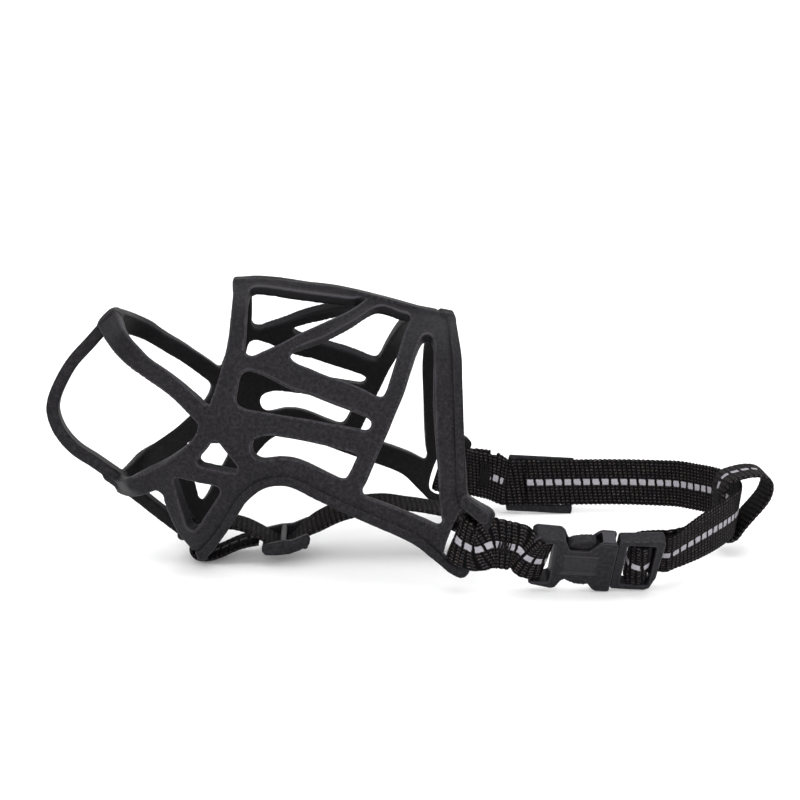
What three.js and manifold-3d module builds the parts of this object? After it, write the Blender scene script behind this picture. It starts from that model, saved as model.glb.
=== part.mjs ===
import * as THREE from "three";
import { mergeVertices } from "three/addons/utils/BufferGeometryUtils.js";
import Module from "manifold-3d";

// Basket muzzle in millimetres. +X runs from the nose to the back of the neck, +Z is up and
// the near side is -Y. One soft moulded basket, a neck strap of woven webbing with a
// side-release buckle and a sliding adjuster, a sewn collar loop at the back, and a chin
// strap round the lip bar.

const wasm = await Module();
wasm.setup();
const radians = THREE.MathUtils.degToRad;

// ---- driving dimensions ----
const NEAR = -1; // sides, as the sign of y
const FAR = 1;
const WEB_WIDTH = 16.5; // all webbing
const WEB_THICK = 1.4;
const BASKET_WALL = 3.4;
const SPINE_WIDTH = 5.6; // width of the bars on the middle plane
const BEAD_RADIUS = 2.1; // rolled edge along the neck opening and the jaw arch
const NOSE_BAR = 4.0; // depth of the nose loop and the keel
const RIDGE_BAR = 5.0; // depth of the top ridge
const LIP_BAR_RADIUS = 1.8;
const LIP_BAR_AT = [-66, 4]; // x, z
const LIP_BAR_OVERLAP = 0.4; // past the middle of each cheek wall
const FRONT_BAR_AT = [-72.6, 10.2]; // second cross bar, in front of the lip bar: x, z
const FRONT_BAR_HALF = 10.4;
const BUCKLE_LEAN = radians(28.7); // top edge leans outwards
const BUCKLE_PITCH = radians(4); // rear end dips
const BUCKLE_AT = [65.4, -45.5, 11.2]; // middle of the joint line between plug and socket
const SLIDER_LEAN = radians(-12); // top edge leans outwards
const SLIDER_AT = [0, 49.5, 11.4];

// ---- solids ----
function solid(geometry) {
  const bare = geometry.index ? geometry.toNonIndexed() : geometry.clone();
  bare.deleteAttribute("normal");
  bare.deleteAttribute("uv");
  const merged = mergeVertices(bare, 1e-4);
  return new wasm.Manifold(
    new wasm.Mesh({
      numProp: 3,
      vertProperties: new Float32Array(merged.attributes.position.array),
      triVerts: new Uint32Array(merged.index.array),
    }),
  );
}

function indexedGeometry(positions, faces) {
  const geometry = new THREE.BufferGeometry();
  geometry.setAttribute(
    "position", new THREE.BufferAttribute(new Float32Array(positions), 3));
  geometry.setIndex(new THREE.BufferAttribute(new Uint32Array(faces), 1));
  return geometry;
}

function geometryOf(manifold) {
  const mesh = manifold.getMesh();
  const geometry = indexedGeometry(mesh.vertProperties, mesh.triVerts);
  geometry.computeVertexNormals();
  return geometry;
}

const union = (...parts) => parts.reduce((whole, part) => whole.add(part));

// The same solid on the other side of the middle plane.
function mirrored(manifold) {
  const geometry = geometryOf(manifold).scale(1, -1, 1);
  const faces = geometry.index.array;
  for (let i = 0; i < faces.length; i += 3) {
    [faces[i + 1], faces[i + 2]] = [faces[i + 2], faces[i + 1]];
  }
  return solid(geometry);
}

const centred = (half) => [-half, half];

function box([x0, x1], [y0, y1], [z0, z1]) {
  const geometry = new THREE.BoxGeometry(x1 - x0, y1 - y0, z1 - z0);
  return solid(geometry.translate((x0 + x1) / 2, (y0 + y1) / 2, (z0 + z1) / 2));
}

// A plate drawn in the x-z plane and y0..y1 thick.
function plate(points, y0, y1) {
  const shape = new THREE.Shape(points.map(([x, z]) => new THREE.Vector2(x, z)));
  const geometry = new THREE.ExtrudeGeometry(shape, { depth: y1 - y0, bevelEnabled: false });
  geometry.rotateX(Math.PI / 2); // shape y -> z, depth -> -y
  return solid(geometry.translate(0, y1, 0));
}

const rod = (radius, length) => new THREE.CylinderGeometry(radius, radius, length, 12);

// ---- ribbons ----
// Sections are [across, through] points; a round bar is six-sided.
function flatSection(width, thick) {
  const [w, t] = [width / 2, thick / 2];
  return [[-w, -t], [w, -t], [w, t], [-w, t]];
}

function roundSection(radius) {
  return Array.from({ length: 6 }, (_, k) => {
    const angle = ((k + 0.5) / 6) * 2 * Math.PI;
    return [Math.cos(angle) * radius, Math.sin(angle) * radius];
  });
}

const smoothCurve = (points) => new THREE.CatmullRomCurve3(points, false, "centripetal");

// A section swept along stations { at, across }: across is the width direction there.
function ribbon(stations, section, perSpan = 3) {
  const path = smoothCurve(stations.map(({ at }) => new THREE.Vector3(...at)));
  const widthPath = smoothCurve(
    stations.map(({ across }) => new THREE.Vector3(...across).normalize()));
  const steps = (stations.length - 1) * perSpan;
  const sides = section.length;
  const positions = [];
  for (let i = 0; i <= steps; i++) {
    const centre = path.getPoint(i / steps);
    const tangent = path.getTangent(i / steps);
    const across = widthPath.getPoint(i / steps);
    across.addScaledVector(tangent, -across.dot(tangent)).normalize();
    const through = new THREE.Vector3().crossVectors(tangent, across);
    for (const [a, b] of section) {
      const corner = centre.clone().addScaledVector(across, a).addScaledVector(through, b);
      positions.push(...corner.toArray());
    }
  }
  const faces = [];
  for (let i = 0; i < steps; i++) {
    for (let k = 0; k < sides; k++) {
      const here = i * sides + k;
      const next = i * sides + ((k + 1) % sides);
      faces.push(here, next, here + sides, next, next + sides, here + sides);
    }
  }
  const last = steps * sides;
  for (let k = 1; k < sides - 1; k++) {
    faces.push(0, k + 1, k);
    faces.push(last, last + k, last + k + 1);
  }
  return solid(indexedGeometry(positions, faces));
}

const webbing = (stations) => ribbon(stations, flatSection(WEB_WIDTH, WEB_THICK));
const alongXZ = (points, y = 0) =>
  points.map(([x, z]) => ({ at: [x, y, z], across: [0, 1, 0] }));

// ---- the cheek surface: a smooth half width over the side view ----
// Half width of the basket at measured places: [x, z, half width].
const HALF_WIDTHS = [
  [-61.0, 58.8, 31.1], [-48.4, 74.1, 27.2], [-48.9, 69.1, 28.4], [-10.5, 53.7, 35.9],
  [-47.6, 46.2, 34.0], [-18.6, 36.9, 38.3], [-15.4, 42.9, 36.8], [-7.7, 61.3, 32.7],
  [11.3, 23.9, 42.9], [-35.3, 72.9, 26.2], [-64.5, 53.2, 30.2], [-67.5, 15.9, 18.1],
  [3.6, 17.0, 42.6], [27.6, 26.8, 48.1], [-93.1, 83.5, 0.0], [-93.7, 27.0, 0.0],
  [-53.0, 93.0, 0.0], [-30.0, 91.1, 0.0], [-10.0, 87.1, 0.0], [5.0, 83.5, 0.0],
  [16.0, 81.0, 0.0], [-51.0, 87.5, 15.0], [-49.5, 80.5, 22.5], [14.0, 78.0, 11.0],
  [15.0, 73.5, 20.0], [15.5, 66.5, 27.5], [16.0, 56.5, 33.5], [16.0, 43.5, 39.5],
  [16.0, 31.5, 43.5], [16.0, 21.5, 43.0], [17.0, 11.5, 40.0], [18.0, 4.5, 37.5],
  [20.9, 8.1, 40.0], [-30.0, 86.5, 13.0], [-15.0, 82.5, 13.0], [-15.0, 76.5, 21.0],
  [-12.0, 67.5, 28.5], [-66.0, 1.5, 11.5], [-76.0, 22.5, 14.0], [-70.0, 7.5, 9.5],
  [-75.0, 14.5, 10.0], [-54.0, 16.5, 22.0], [-48.0, 24.5, 29.0], [-39.0, 28.5, 34.0],
  [-22.0, 23.5, 39.0], [-59.0, 41.5, 30.5], [-72.0, 29.5, 20.0], [-89.5, 80.0, 14.9],
  [-84.5, 75.0, 22.5], [-77.5, 70.0, 24.8], [-70.0, 64.0, 27.2], [-88.5, 29.0, 17.0],
  [-81.0, 31.0, 17.0],
];
const SMOOTHING = 30; // how far the surface may miss the measured places; 0 is exact

// Thin-plate spline through [x, z, value] points, solved by Gauss-Jordan elimination.
function smoothSurface(points) {
  const count = points.length;
  const size = count + 3; // one weight per point and a plane
  const radial = (d) => (d > 0 ? d * d * Math.log(d) : 0);
  const rows = Array.from({ length: size }, () => new Float64Array(size + 1));
  points.forEach(([x, z, value], i) => {
    points.forEach(([otherX, otherZ], j) => {
      rows[i][j] = radial(Math.hypot(x - otherX, z - otherZ));
    });
    rows[i][i] += SMOOTHING;
    [1, x, z].forEach((term, k) => {
      rows[i][count + k] = term;
      rows[count + k][i] = term;
    });
    rows[i][size] = value;
  });
  for (let c = 0; c < size; c++) {
    let pivot = c;
    for (let r = c + 1; r < size; r++) {
      if (Math.abs(rows[r][c]) > Math.abs(rows[pivot][c])) pivot = r;
    }
    [rows[c], rows[pivot]] = [rows[pivot], rows[c]];
    for (let r = 0; r < size; r++) {
      if (r === c) continue;
      const factor = rows[r][c] / rows[c][c];
      for (let k = c; k <= size; k++) rows[r][k] -= factor * rows[c][k];
    }
  }
  const weights = rows.map((row, i) => row[size] / row[i]);
  return (x, z) => {
    let value = weights[count] + weights[count + 1] * x + weights[count + 2] * z;
    points.forEach(([px, pz], i) => {
      value += weights[i] * radial(Math.hypot(x - px, z - pz));
    });
    return value;
  };
}
const halfWidth = smoothSurface(HALF_WIDTHS);

// A point on the cheek of one side, moved outwards by offset.
function onCheek(x, z, offset, side) {
  const e = 0.5; // reach of the slope measurement
  const slopeX = (halfWidth(x + e, z) - halfWidth(x - e, z)) / (2 * e);
  const slopeZ = (halfWidth(x, z + e) - halfWidth(x, z - e)) / (2 * e);
  const length = Math.hypot(slopeX, 1, slopeZ);
  return [
    x - (slopeX / length) * offset,
    side * (halfWidth(x, z) + offset / length),
    z - (slopeZ / length) * offset,
  ];
}

// ---- basket ----
// Outer edge of one cheek, seen square from the side (x, z).
const SIDE_OUTLINE = [
  [-95.5, 82.9], [-94.3, 84.0], [-92.3, 84.0], [-88.0, 79.6], [-83.4, 75.9], [-80.1, 73.0],
  [-73.8, 68.8], [-67.4, 63.9], [-64.2, 61.3], [-62.0, 59.4], [-60.9, 59.3], [-60.4, 60.7],
  [-59.1, 64.1], [-57.5, 69.2], [-56.0, 74.3], [-55.1, 78.6], [-54.5, 84.0], [-54.3, 89.1],
  [-54.4, 93.0], [-53.7, 94.8], [-52.4, 95.2], [-42.6, 94.4], [-31.8, 93.4], [-18.4, 91.6],
  [-12.2, 90.1], [-4.6, 87.9], [3.3, 85.7], [9.9, 83.6], [12.9, 83.0], [15.5, 83.4],
  [17.2, 82.3], [18.0, 80.2], [18.2, 76.0], [18.4, 71.1], [18.2, 64.4], [18.4, 57.6],
  [18.6, 50.1], [18.9, 42.9], [19.1, 37.1], [19.3, 33.2], [20.2, 31.6], [23.1, 30.4],
  [26.1, 29.1], [27.7, 27.0], [27.1, 25.0], [21.1, 8.1], [20.7, 6.5], [19.5, 4.7],
  [18.0, 4.2], [14.1, 6.2], [11.1, 9.1], [7.2, 12.8], [3.3, 16.4], [-1.7, 19.1],
  [-8.0, 21.7], [-15.8, 24.9], [-18.9, 26.2], [-23.6, 28.3], [-28.9, 30.7], [-33.0, 32.8],
  [-36.2, 34.0], [-39.0, 34.2], [-41.9, 33.8], [-44.8, 32.5], [-47.8, 29.9], [-50.4, 26.8],
  [-53.1, 21.9], [-56.1, 16.5], [-59.0, 11.7], [-61.1, 8.3], [-63.3, 4.9], [-64.9, 3.8],
  [-66.8, 5.1], [-69.1, 7.2], [-71.1, 9.6], [-73.3, 13.0], [-74.7, 16.5], [-76.1, 20.7],
  [-77.2, 24.7], [-77.6, 27.1], [-78.9, 28.4], [-79.8, 28.7], [-82.2, 27.8], [-85.8, 26.1],
  [-89.9, 23.7], [-93.2, 23.1], [-96.1, 25.6], [-97.3, 27.7], [-96.0, 28.2], [-92.0, 29.8],
  [-86.7, 33.3], [-81.5, 36.2], [-76.4, 39.4], [-71.2, 43.5], [-67.8, 46.7], [-65.4, 49.9],
  [-64.6, 52.6], [-65.3, 54.0], [-67.5, 56.1], [-73.8, 61.7], [-80.2, 66.1], [-86.6, 70.5],
  [-92.0, 74.1], [-96.6, 77.5], [-98.1, 79.6],
];
// Openings of the cheek (x, z).
const FRONT_QUAD = [
  [-48.0, 91.0], [-32.8, 89.4], [-21.4, 87.8], [-15.9, 87.0], [-11.2, 87.3], [-16.6, 84.6],
  [-26.3, 81.6], [-32.7, 79.4], [-39.0, 76.8], [-44.6, 74.8], [-47.5, 73.8], [-49.2, 74.2],
  [-50.0, 75.8], [-49.7, 78.6], [-49.4, 84.1], [-49.0, 89.7],
];
const REAR_QUAD = [
  [-7.0, 84.4], [-0.2, 82.4], [2.1, 81.8], [2.7, 80.9], [0.4, 77.1], [-1.9, 72.1],
  [-4.3, 66.3], [-5.8, 62.7], [-7.0, 61.3], [-8.9, 61.6], [-12.3, 63.2], [-17.0, 65.2],
  [-21.1, 66.6], [-24.8, 67.8], [-29.5, 69.7], [-33.6, 71.2], [-35.2, 72.3], [-35.8, 73.4],
  [-35.2, 74.6], [-33.6, 75.3], [-29.2, 76.7], [-25.7, 77.7], [-16.7, 81.1],
];
const UPPER_SLOT = [
  [-48.7, 69.5], [-44.7, 68.4], [-40.6, 66.5], [-36.5, 64.4], [-32.7, 63.1], [-29.6, 62.4],
  [-26.5, 61.2], [-21.8, 59.4], [-17.1, 57.7], [-14.0, 56.5], [-11.8, 55.5], [-10.5, 54.3],
  [-10.6, 52.9], [-11.8, 51.9], [-14.0, 52.1], [-17.1, 52.7], [-23.4, 53.8], [-29.7, 55.0],
  [-35.9, 55.9], [-42.2, 56.9], [-46.9, 57.6], [-50.0, 58.2], [-51.9, 59.1], [-52.8, 60.8],
  [-52.5, 62.9], [-51.7, 66.8], [-50.8, 68.8],
];
const LOWER_SLOT = [
  [-46.4, 49.1], [-43.8, 49.9], [-41.3, 50.0], [-39.1, 49.7], [-32.8, 48.7], [-26.6, 47.4],
  [-23.5, 46.7], [-19.7, 45.7], [-16.6, 44.9], [-15.0, 43.8], [-15.6, 42.1], [-17.6, 38.1],
  [-18.5, 37.0], [-20.1, 36.9], [-22.6, 37.9], [-26.0, 39.5], [-29.8, 41.3], [-32.9, 42.5],
  [-36.0, 43.2], [-39.2, 43.3], [-43.0, 42.7], [-45.5, 42.7], [-47.2, 43.9], [-48.0, 46.0],
  [-47.6, 47.9],
];
const REAR_WINDOW = [
  [6.0, 75.5], [6.8, 76.3], [8.2, 76.7], [9.4, 76.2], [10.0, 74.9], [9.6, 68.8],
  [9.2, 60.5], [9.5, 51.7], [10.0, 42.8], [10.5, 33.8], [11.1, 26.5], [11.5, 23.9],
  [10.8, 22.5], [9.6, 22.8], [6.1, 24.6], [1.4, 26.6], [-4.8, 29.0], [-11.0, 31.1],
  [-13.1, 32.1], [-13.4, 33.5], [-12.3, 35.5], [-10.3, 40.1], [-7.8, 45.7], [-5.3, 51.0],
  [-2.7, 56.9], [-0.0, 62.6], [2.5, 68.9], [4.7, 73.5],
];
const UPPER_CHIN_WINDOW = [
  [-60.4, 47.5], [-59.2, 48.0], [-58.0, 47.4], [-55.7, 44.5], [-53.5, 41.6], [-52.3, 39.7],
  [-52.6, 38.3], [-54.3, 38.0], [-60.0, 38.8], [-63.6, 39.3], [-64.9, 40.1], [-64.7, 41.7],
  [-62.7, 44.3],
];
const LOWER_CHIN_WINDOW = [
  [-72.9, 34.1], [-71.7, 34.4], [-68.5, 33.8], [-63.6, 33.1], [-59.0, 32.4], [-58.1, 31.3],
  [-58.8, 29.2], [-61.3, 24.8], [-64.2, 19.8], [-66.0, 16.7], [-67.7, 15.2], [-69.2, 15.9],
  [-70.3, 19.7], [-72.0, 26.3],
];
// Slot the neck webbing passes through.
const STRAP_SLOT = [[18.9, 28.9], [22.8, 28.5], [16.6, 10.2], [12.3, 12.0]];
const OPENINGS = [
  FRONT_QUAD, REAR_QUAD, UPPER_SLOT, LOWER_SLOT, REAR_WINDOW,
  UPPER_CHIN_WINDOW, LOWER_CHIN_WINDOW, STRAP_SLOT,
];

// Middle lines of the bars and beads (x, z).
const NOSE_LOOP = [
  [-93.0, 82.8], [-97.2, 78.9], [-102.0, 73.7], [-107.9, 67.3], [-112.0, 60.6],
  [-114.5, 54.5], [-114.8, 50.4], [-112.9, 44.5], [-108.2, 38.4], [-101.5, 33.6],
  [-93.0, 27.3],
];
const RIDGE = [
  [-53.2, 92.4], [-42.7, 92.0], [-31.9, 90.9], [-18.4, 89.0], [-4.6, 85.6], [9.9, 81.5],
  [16.0, 80.3],
];
const KEEL = [[-97.0, 29.0], [-88.8, 22.9], [-80.7, 16.1], [-73.0, 9.8]];
const NECK_RIM = [
  [15.4, 80.6], [16.2, 76.5], [16.4, 71.1], [16.4, 64.4], [16.4, 57.6], [16.6, 50.1],
  [16.9, 42.9], [17.1, 37.1], [17.2, 32.0],
];
const JAW_ARCH = [
  [-62.5, 9.0], [-57.6, 17.2], [-54.2, 23.2], [-51.2, 28.6], [-47.6, 32.2], [-44.2, 34.7],
  [-40.5, 36.0], [-36.0, 36.2], [-32.2, 34.9], [-28.0, 32.7], [-22.8, 30.2], [-15.2, 26.9],
  [-7.2, 23.6], [-0.8, 21.0], [4.6, 18.2], [8.6, 14.6], [12.3, 11.1], [15.0, 8.0],
  [18.0, 5.8],
];

// A curved wall following the near cheek, larger than its outline.
function cheekSlab() {
  const step = 5;
  const [x0, x1, z0, z1] = [-101, 31, 0, 98];
  const nx = Math.round((x1 - x0) / step);
  const nz = Math.round((z1 - z0) / step);
  const positions = [];
  for (const offset of [BASKET_WALL / 2, -BASKET_WALL / 2]) {
    for (let i = 0; i <= nx; i++) {
      for (let j = 0; j <= nz; j++) {
        const x = x0 + ((x1 - x0) * i) / nx;
        const z = z0 + ((z1 - z0) * j) / nz;
        positions.push(...onCheek(x, z, offset, NEAR));
      }
    }
  }
  const outer = (i, j) => i * (nz + 1) + j;
  const inner = (i, j) => (nx + 1) * (nz + 1) + outer(i, j);
  const faces = [];
  const quad = (a, b, c, d) => faces.push(a, b, c, a, c, d);
  for (let i = 0; i < nx; i++) {
    for (let j = 0; j < nz; j++) {
      quad(outer(i, j), outer(i + 1, j), outer(i + 1, j + 1), outer(i, j + 1));
      quad(inner(i, j), inner(i, j + 1), inner(i + 1, j + 1), inner(i + 1, j));
    }
  }
  for (let i = 0; i < nx; i++) {
    quad(inner(i, 0), inner(i + 1, 0), outer(i + 1, 0), outer(i, 0));
    quad(outer(i, nz), outer(i + 1, nz), inner(i + 1, nz), inner(i, nz));
  }
  for (let j = 0; j < nz; j++) {
    quad(outer(0, j), outer(0, j + 1), inner(0, j + 1), inner(0, j));
    quad(inner(nx, j), inner(nx, j + 1), outer(nx, j + 1), outer(nx, j));
  }
  return solid(indexedGeometry(positions, faces));
}

function nearCheek() {
  const cutter = OPENINGS.reduce(
    (whole, opening) => whole.subtract(plate(opening, -75, 5)),
    plate(SIDE_OUTLINE, -70, 0.2));
  const bead = (line) => {
    const stations = line.map(([x, z]) => (
      { at: onCheek(x, z, 0.5, NEAR), across: [0.3, 0.9, 0.2] }));
    return ribbon(stations, roundSection(BEAD_RADIUS), 1);
  };
  return union(cheekSlab().intersect(cutter), bead(NECK_RIM), bead(JAW_ARCH));
}

function basket() {
  const spineBar = (line, depth, perSpan) =>
    ribbon(alongXZ(line), flatSection(SPINE_WIDTH, depth), perSpan);
  const crossBar = ([x, z], half) => {
    const ends = centred(half).map((y) => ({ at: [x, y, z], across: [1, 0, 0] }));
    return ribbon(ends, roundSection(LIP_BAR_RADIUS), 2);
  };
  const cheek = nearCheek();
  return union(
    cheek,
    mirrored(cheek),
    spineBar(NOSE_LOOP, NOSE_BAR, 2),
    spineBar(RIDGE, RIDGE_BAR, 2),
    spineBar(KEEL, NOSE_BAR, 1),
    crossBar(LIP_BAR_AT, halfWidth(...LIP_BAR_AT) + LIP_BAR_OVERLAP),
    crossBar(FRONT_BAR_AT, FRONT_BAR_HALF),
  );
}

// ---- frames of the buckle and the neck slider: x along the strap, y through it ----
const buckleFrame = new THREE.Matrix4()
  .makeTranslation(...BUCKLE_AT)
  .multiply(new THREE.Matrix4().makeRotationY(BUCKLE_PITCH))
  .multiply(new THREE.Matrix4().makeRotationX(BUCKLE_LEAN));
const sliderFrame = new THREE.Matrix4()
  .makeTranslation(...SLIDER_AT)
  .multiply(new THREE.Matrix4().makeRotationX(SLIDER_LEAN));

// ---- buckle ----
const WEB_OPENING = centred(8.7); // height of the openings for the webbing
// Outlines in the buckle frame (x, z).
const SOCKET = [
  [-26.5, -9.4], [-25.2, -10.6], [-17.8, -11.0], [-15.9, -7.4], [-14.6, -6.4], [-8.6, -6.4],
  [-5.8, -10.2], [-4.6, -11.2], [0, -11.3], [0, 10.0], [-4.6, 10.1], [-5.8, 9.4], [-8.8, 6.0],
  [-14.8, 6.0], [-16.2, 9.4], [-17.6, 10.8], [-25.4, 11.2], [-26.5, 10.2],
];
const PLUG = [
  [0.3, -10.75], [11.4, -10.6], [12.8, -9.7], [14.2, -5.0], [14.8, 10.6], [14.0, 11.5],
  [0.3, 10.3],
];
// The upper prong, before and after the round end at its root.
const PRONG_INNER_EDGE = [[-15.5, 6.3], [-12, 5.0], [-8, 4.8]];
const PRONG_OUTER_EDGE = [
  [-5.0, 6.8], [-6.3, 7.6], [-6.8, 9.0], [-8.2, 9.4], [-11, 9.2], [-13.8, 8.5], [-15.4, 7.3],
];
const PRONG_ROOT = [-1.0, 5.6]; // centre of the round end, which has a radius of 1

// Ears with the webbing bar, waist, and the band round the mouth.
function buckleSocket() {
  const body = plate(SOCKET, -3.2, 3.2).subtract(box([-28, -19.6], centred(5), WEB_OPENING));
  const webBar = box([-25.9, -23.0], [-1.0, 1.4], centred(9.5));
  const cavity = box([-16.4, 1], centred(2.3), centred(9.75));
  const rib = box([-16.5, -9.2], centred(2.5), centred(1.6));
  return union(union(body, webBar).subtract(cavity), rib);
}

// Frame with the webbing bar and the guide tongue.
function bucklePlug() {
  return union(
    plate(PLUG, -2.2, 2.2).subtract(box([3.2, 12.9], centred(4), WEB_OPENING)),
    solid(rod(1.2, 18.4).rotateX(Math.PI / 2).translate(8.2, 0, 0)),
    box([-8.6, 0.6], centred(1.8), centred(1.5)),
  );
}

function upperProngOutline() {
  const root = [];
  for (let k = 0; k <= 6; k++) {
    const angle = -Math.PI / 2 + (Math.PI * k) / 6;
    root.push([PRONG_ROOT[0] + Math.cos(angle), PRONG_ROOT[1] + Math.sin(angle)]);
  }
  return [...PRONG_INNER_EDGE, ...root, ...PRONG_OUTER_EDGE];
}
const upperProng = upperProngOutline();
const lowerProng = upperProng.map(([x, z]) => [x, -z]).reverse();
const prong = (outline) => plate(outline, -1.9, 1.9);

// ---- tri-glide adjusters ----
function neckSlider() {
  const depth = [1.2, 3.4];
  const rails = [[-11.3, -8.8], [8.8, 11.3]].map((z) => box([41.6, 65.6], depth, z));
  const bars = [[41.6, 44.4], [51.9, 55.4], [62.6, 65.6]].map((x) => box(x, depth, [-9, 9]));
  return union(...rails, ...bars);
}

// Side rail (x, z) and the places of the three cross bars (x, z).
const CHIN_RAIL = [
  [-46.6, 6.6], [-46.1, 4.6], [-45.3, 3.4], [-41.7, 3.3], [-37.4, 3.7], [-33.7, 5.0],
  [-30.6, 6.9], [-30.2, 8.8], [-31.0, 10.6], [-33.6, 9.5], [-36.3, 8.4], [-40.3, 8.1],
  [-43.6, 7.4],
];
const CHIN_BARS = [[-45.3, 4.8], [-39.2, 7.2], [-32.1, 6.2]];

function chinSlider() {
  const bars = CHIN_BARS.map(([x, z]) => solid(rod(1.1, 19.4).translate(x, 0, z)));
  return union(plate(CHIN_RAIL, -11.3, -9.0), plate(CHIN_RAIL, 9.0, 11.3), ...bars);
}

// ---- webbing ----
// Stations at (x, y) points of a frame, with the width along its z.
function inFrame(frame, points) {
  const across = new THREE.Vector3(0, 0, 1).transformDirection(frame).toArray();
  return points.map(([x, y]) => (
    { at: new THREE.Vector3(x, y, 0).applyMatrix4(frame).toArray(), across }));
}

// Width direction whose top leans outwards by about this many degrees.
function leanOut(side, degrees) {
  const angle = radians(degrees);
  return [0.12, side * Math.sin(angle), Math.cos(angle)];
}
const leaning = (side, degrees, ...at) => ({ at, across: leanOut(side, degrees) });

// The turn through the strap slot, from inside the cheek to outside.
const SLOT_MIDDLE = [17.3, 20.0, 0]; // x, z, offset from the cheek
const SLOT_LEG = [[24.2, 17.5, 3.9], [20.8, 18.7, 3.9], [18.7, 19.5, 3.2], [17.6, 19.9, 1.6]];

function slotTurn(side) {
  const top = onCheek(20.2, 26.8, 0, side);
  const bottom = onCheek(15.2, 12.6, 0, side);
  const across = top.map((value, i) => value - bottom[i]);
  const inside = SLOT_LEG.map(([x, z, offset]) => [x, z, -offset]);
  return [...inside, SLOT_MIDDLE, ...SLOT_LEG.toReversed()]
    .map(([x, z, offset]) => ({ at: onCheek(x, z, offset, side), across }));
}

// From the slot to the bar of the socket and back.
const nearTab = [
  leaning(NEAR, 29, 32.6, -43.6, 15.0),
  leaning(NEAR, 30, 28.4, -42.6, 16.4),
  ...slotTurn(NEAR),
  leaning(NEAR, 30, 28.6, -47.8, 16.5),
  leaning(NEAR, 29, 33.0, -48.3, 14.9),
  ...inFrame(buckleFrame, [
    [-29.5, -2.6], [-26.5, -2.3], [-23.6, -2.25], [-21.7, -1.2], [-21.4, 0.4], [-22.6, 2.0],
    [-25, 2.6], [-29, 2.5],
  ]),
  leaning(NEAR, 29, 33.5, -44.7, 14.6),
];

// From the slot to the front bar of the neck slider and back.
const farLoop = [
  leaning(FAR, 20, 34.6, 50.9, 15.0),
  leaning(FAR, 27, 28.6, 48.3, 16.4),
  ...slotTurn(FAR).reverse(),
  leaning(FAR, 27, 28.4, 43.5, 16.6),
  leaning(FAR, 20, 35.0, 46.4, 14.4),
  ...inFrame(sliderFrame, [
    [41.0, -0.1], [44.2, 0], [46.2, 0.2], [47.6, 1.0], [48.1, 2.4], [47.4, 3.9], [45.4, 4.7],
    [41.5, 4.8],
  ]),
  leaning(FAR, 19, 35.4, 51.1, 14.7),
];

// Round the back of the neck: [x, y, z, outward lean in degrees].
const NECK_RUN = [
  [88.5, -38.9, 12.9, 29], [95.4, -33.4, 13.9, 29], [101.7, -26.6, 14.6, 27],
  [107.1, -19.5, 15.3, 18], [111.4, -12.0, 16.0, 9], [114.0, -3.0, 16.2, 8],
  [114.6, 6.0, 16.0, 8], [113.4, 15.0, 15.4, 12], [110.8, 23.5, 14.6, 16],
  [106.8, 31.0, 13.8, 18], [101.8, 38.0, 13.2, 18], [95.4, 43.4, 12.4, 16],
  [86.3, 47.6, 11.7, 13], [78.0, 49.2, 11.45, 12],
];
const neckRun = NECK_RUN.map(([x, y, z, degrees], i) => {
  const before = NECK_RUN[Math.max(i - 1, 0)];
  const after = NECK_RUN[Math.min(i + 1, NECK_RUN.length - 1)];
  const [dx, dy] = [after[0] - before[0], after[1] - before[1]];
  const length = Math.hypot(dx, dy);
  const outward = Math.sin(radians(degrees));
  return {
    at: [x, y, z],
    across: [(dy / length) * outward, (-dx / length) * outward, Math.cos(radians(degrees))],
  };
});

// Sewn end, round the bar of the plug, round the neck and into the slider.
const neckStrap = [
  { at: [93.7, -31.7, 13.9], across: [0.33, -0.33, 0.88] },
  { at: [87.5, -36.5, 12.9], across: [0.22, -0.42, 0.88] },
  ...inFrame(buckleFrame, [
    [17.5, 6.6], [14, 6.2], [11, 5.8], [7.4, 5.0], [5.3, 3.3], [5.0, 1.0], [5.9, -1.3],
    [8.2, -2.35], [10.4, -1.2], [11.3, 0.8], [11.7, 2.6], [12.9, 3.8], [15, 4.0], [18, 4.0],
  ]),
  ...neckRun,
  ...inFrame(sliderFrame, [[66.2, 0], [50.0, 0]]),
];

// Middle lines (x, z).
const COLLAR_Y = -1.5;
const COLLAR = [
  [108.1, 18.2], [108.1, 22.0], [109.8, 25.9], [113.8, 27.6], [118.9, 28.5], [122.6, 27.9],
  [124.8, 26.0], [125.2, 23.4], [124.2, 20.0], [122.0, 16.6], [119.0, 13.0], [115.9, 9.0],
  [113.0, 5.4], [110.2, 4.6], [108.4, 6.8], [108.0, 11.5], [108.1, 16.6],
];
const CHIN = [
  [-47.6, 6.3], [-52.5, 5.4], [-56.5, 3.9], [-61.0, 1.9], [-65.4, 1.0], [-68.4, 1.7],
  [-70.0, 3.9], [-69.6, 6.4], [-66.8, 8.8], [-62.0, 11.0], [-57.0, 12.0], [-52.4, 11.0],
  [-48.4, 9.1], [-45.3, 7.3], [-42.2, 5.4], [-39.2, 4.7], [-36.6, 5.4], [-34.2, 7.3],
  [-31.8, 9.4], [-27.0, 12.2], [-18.6, 16.0], [-6.1, 18.0], [3.4, 17.6], [13.5, 15.8],
  [22.0, 13.8], [28.6, 12.4], [31.2, 10.2], [29.2, 8.0], [24.6, 7.9], [20.0, 9.4],
  [15.5, 11.8],
];

// Behind the slider the chin strap leans a little: its far edge is the higher one.
const { smoothstep } = THREE.MathUtils;
const chinLean = (x) => 0.17 * smoothstep(x, -36, -26) * (1 - smoothstep(x, -12, 4));
const chinStrap = alongXZ(CHIN).map(({ at }) => ({ at, across: [0, 1, chinLean(at[0])] }));

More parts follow.
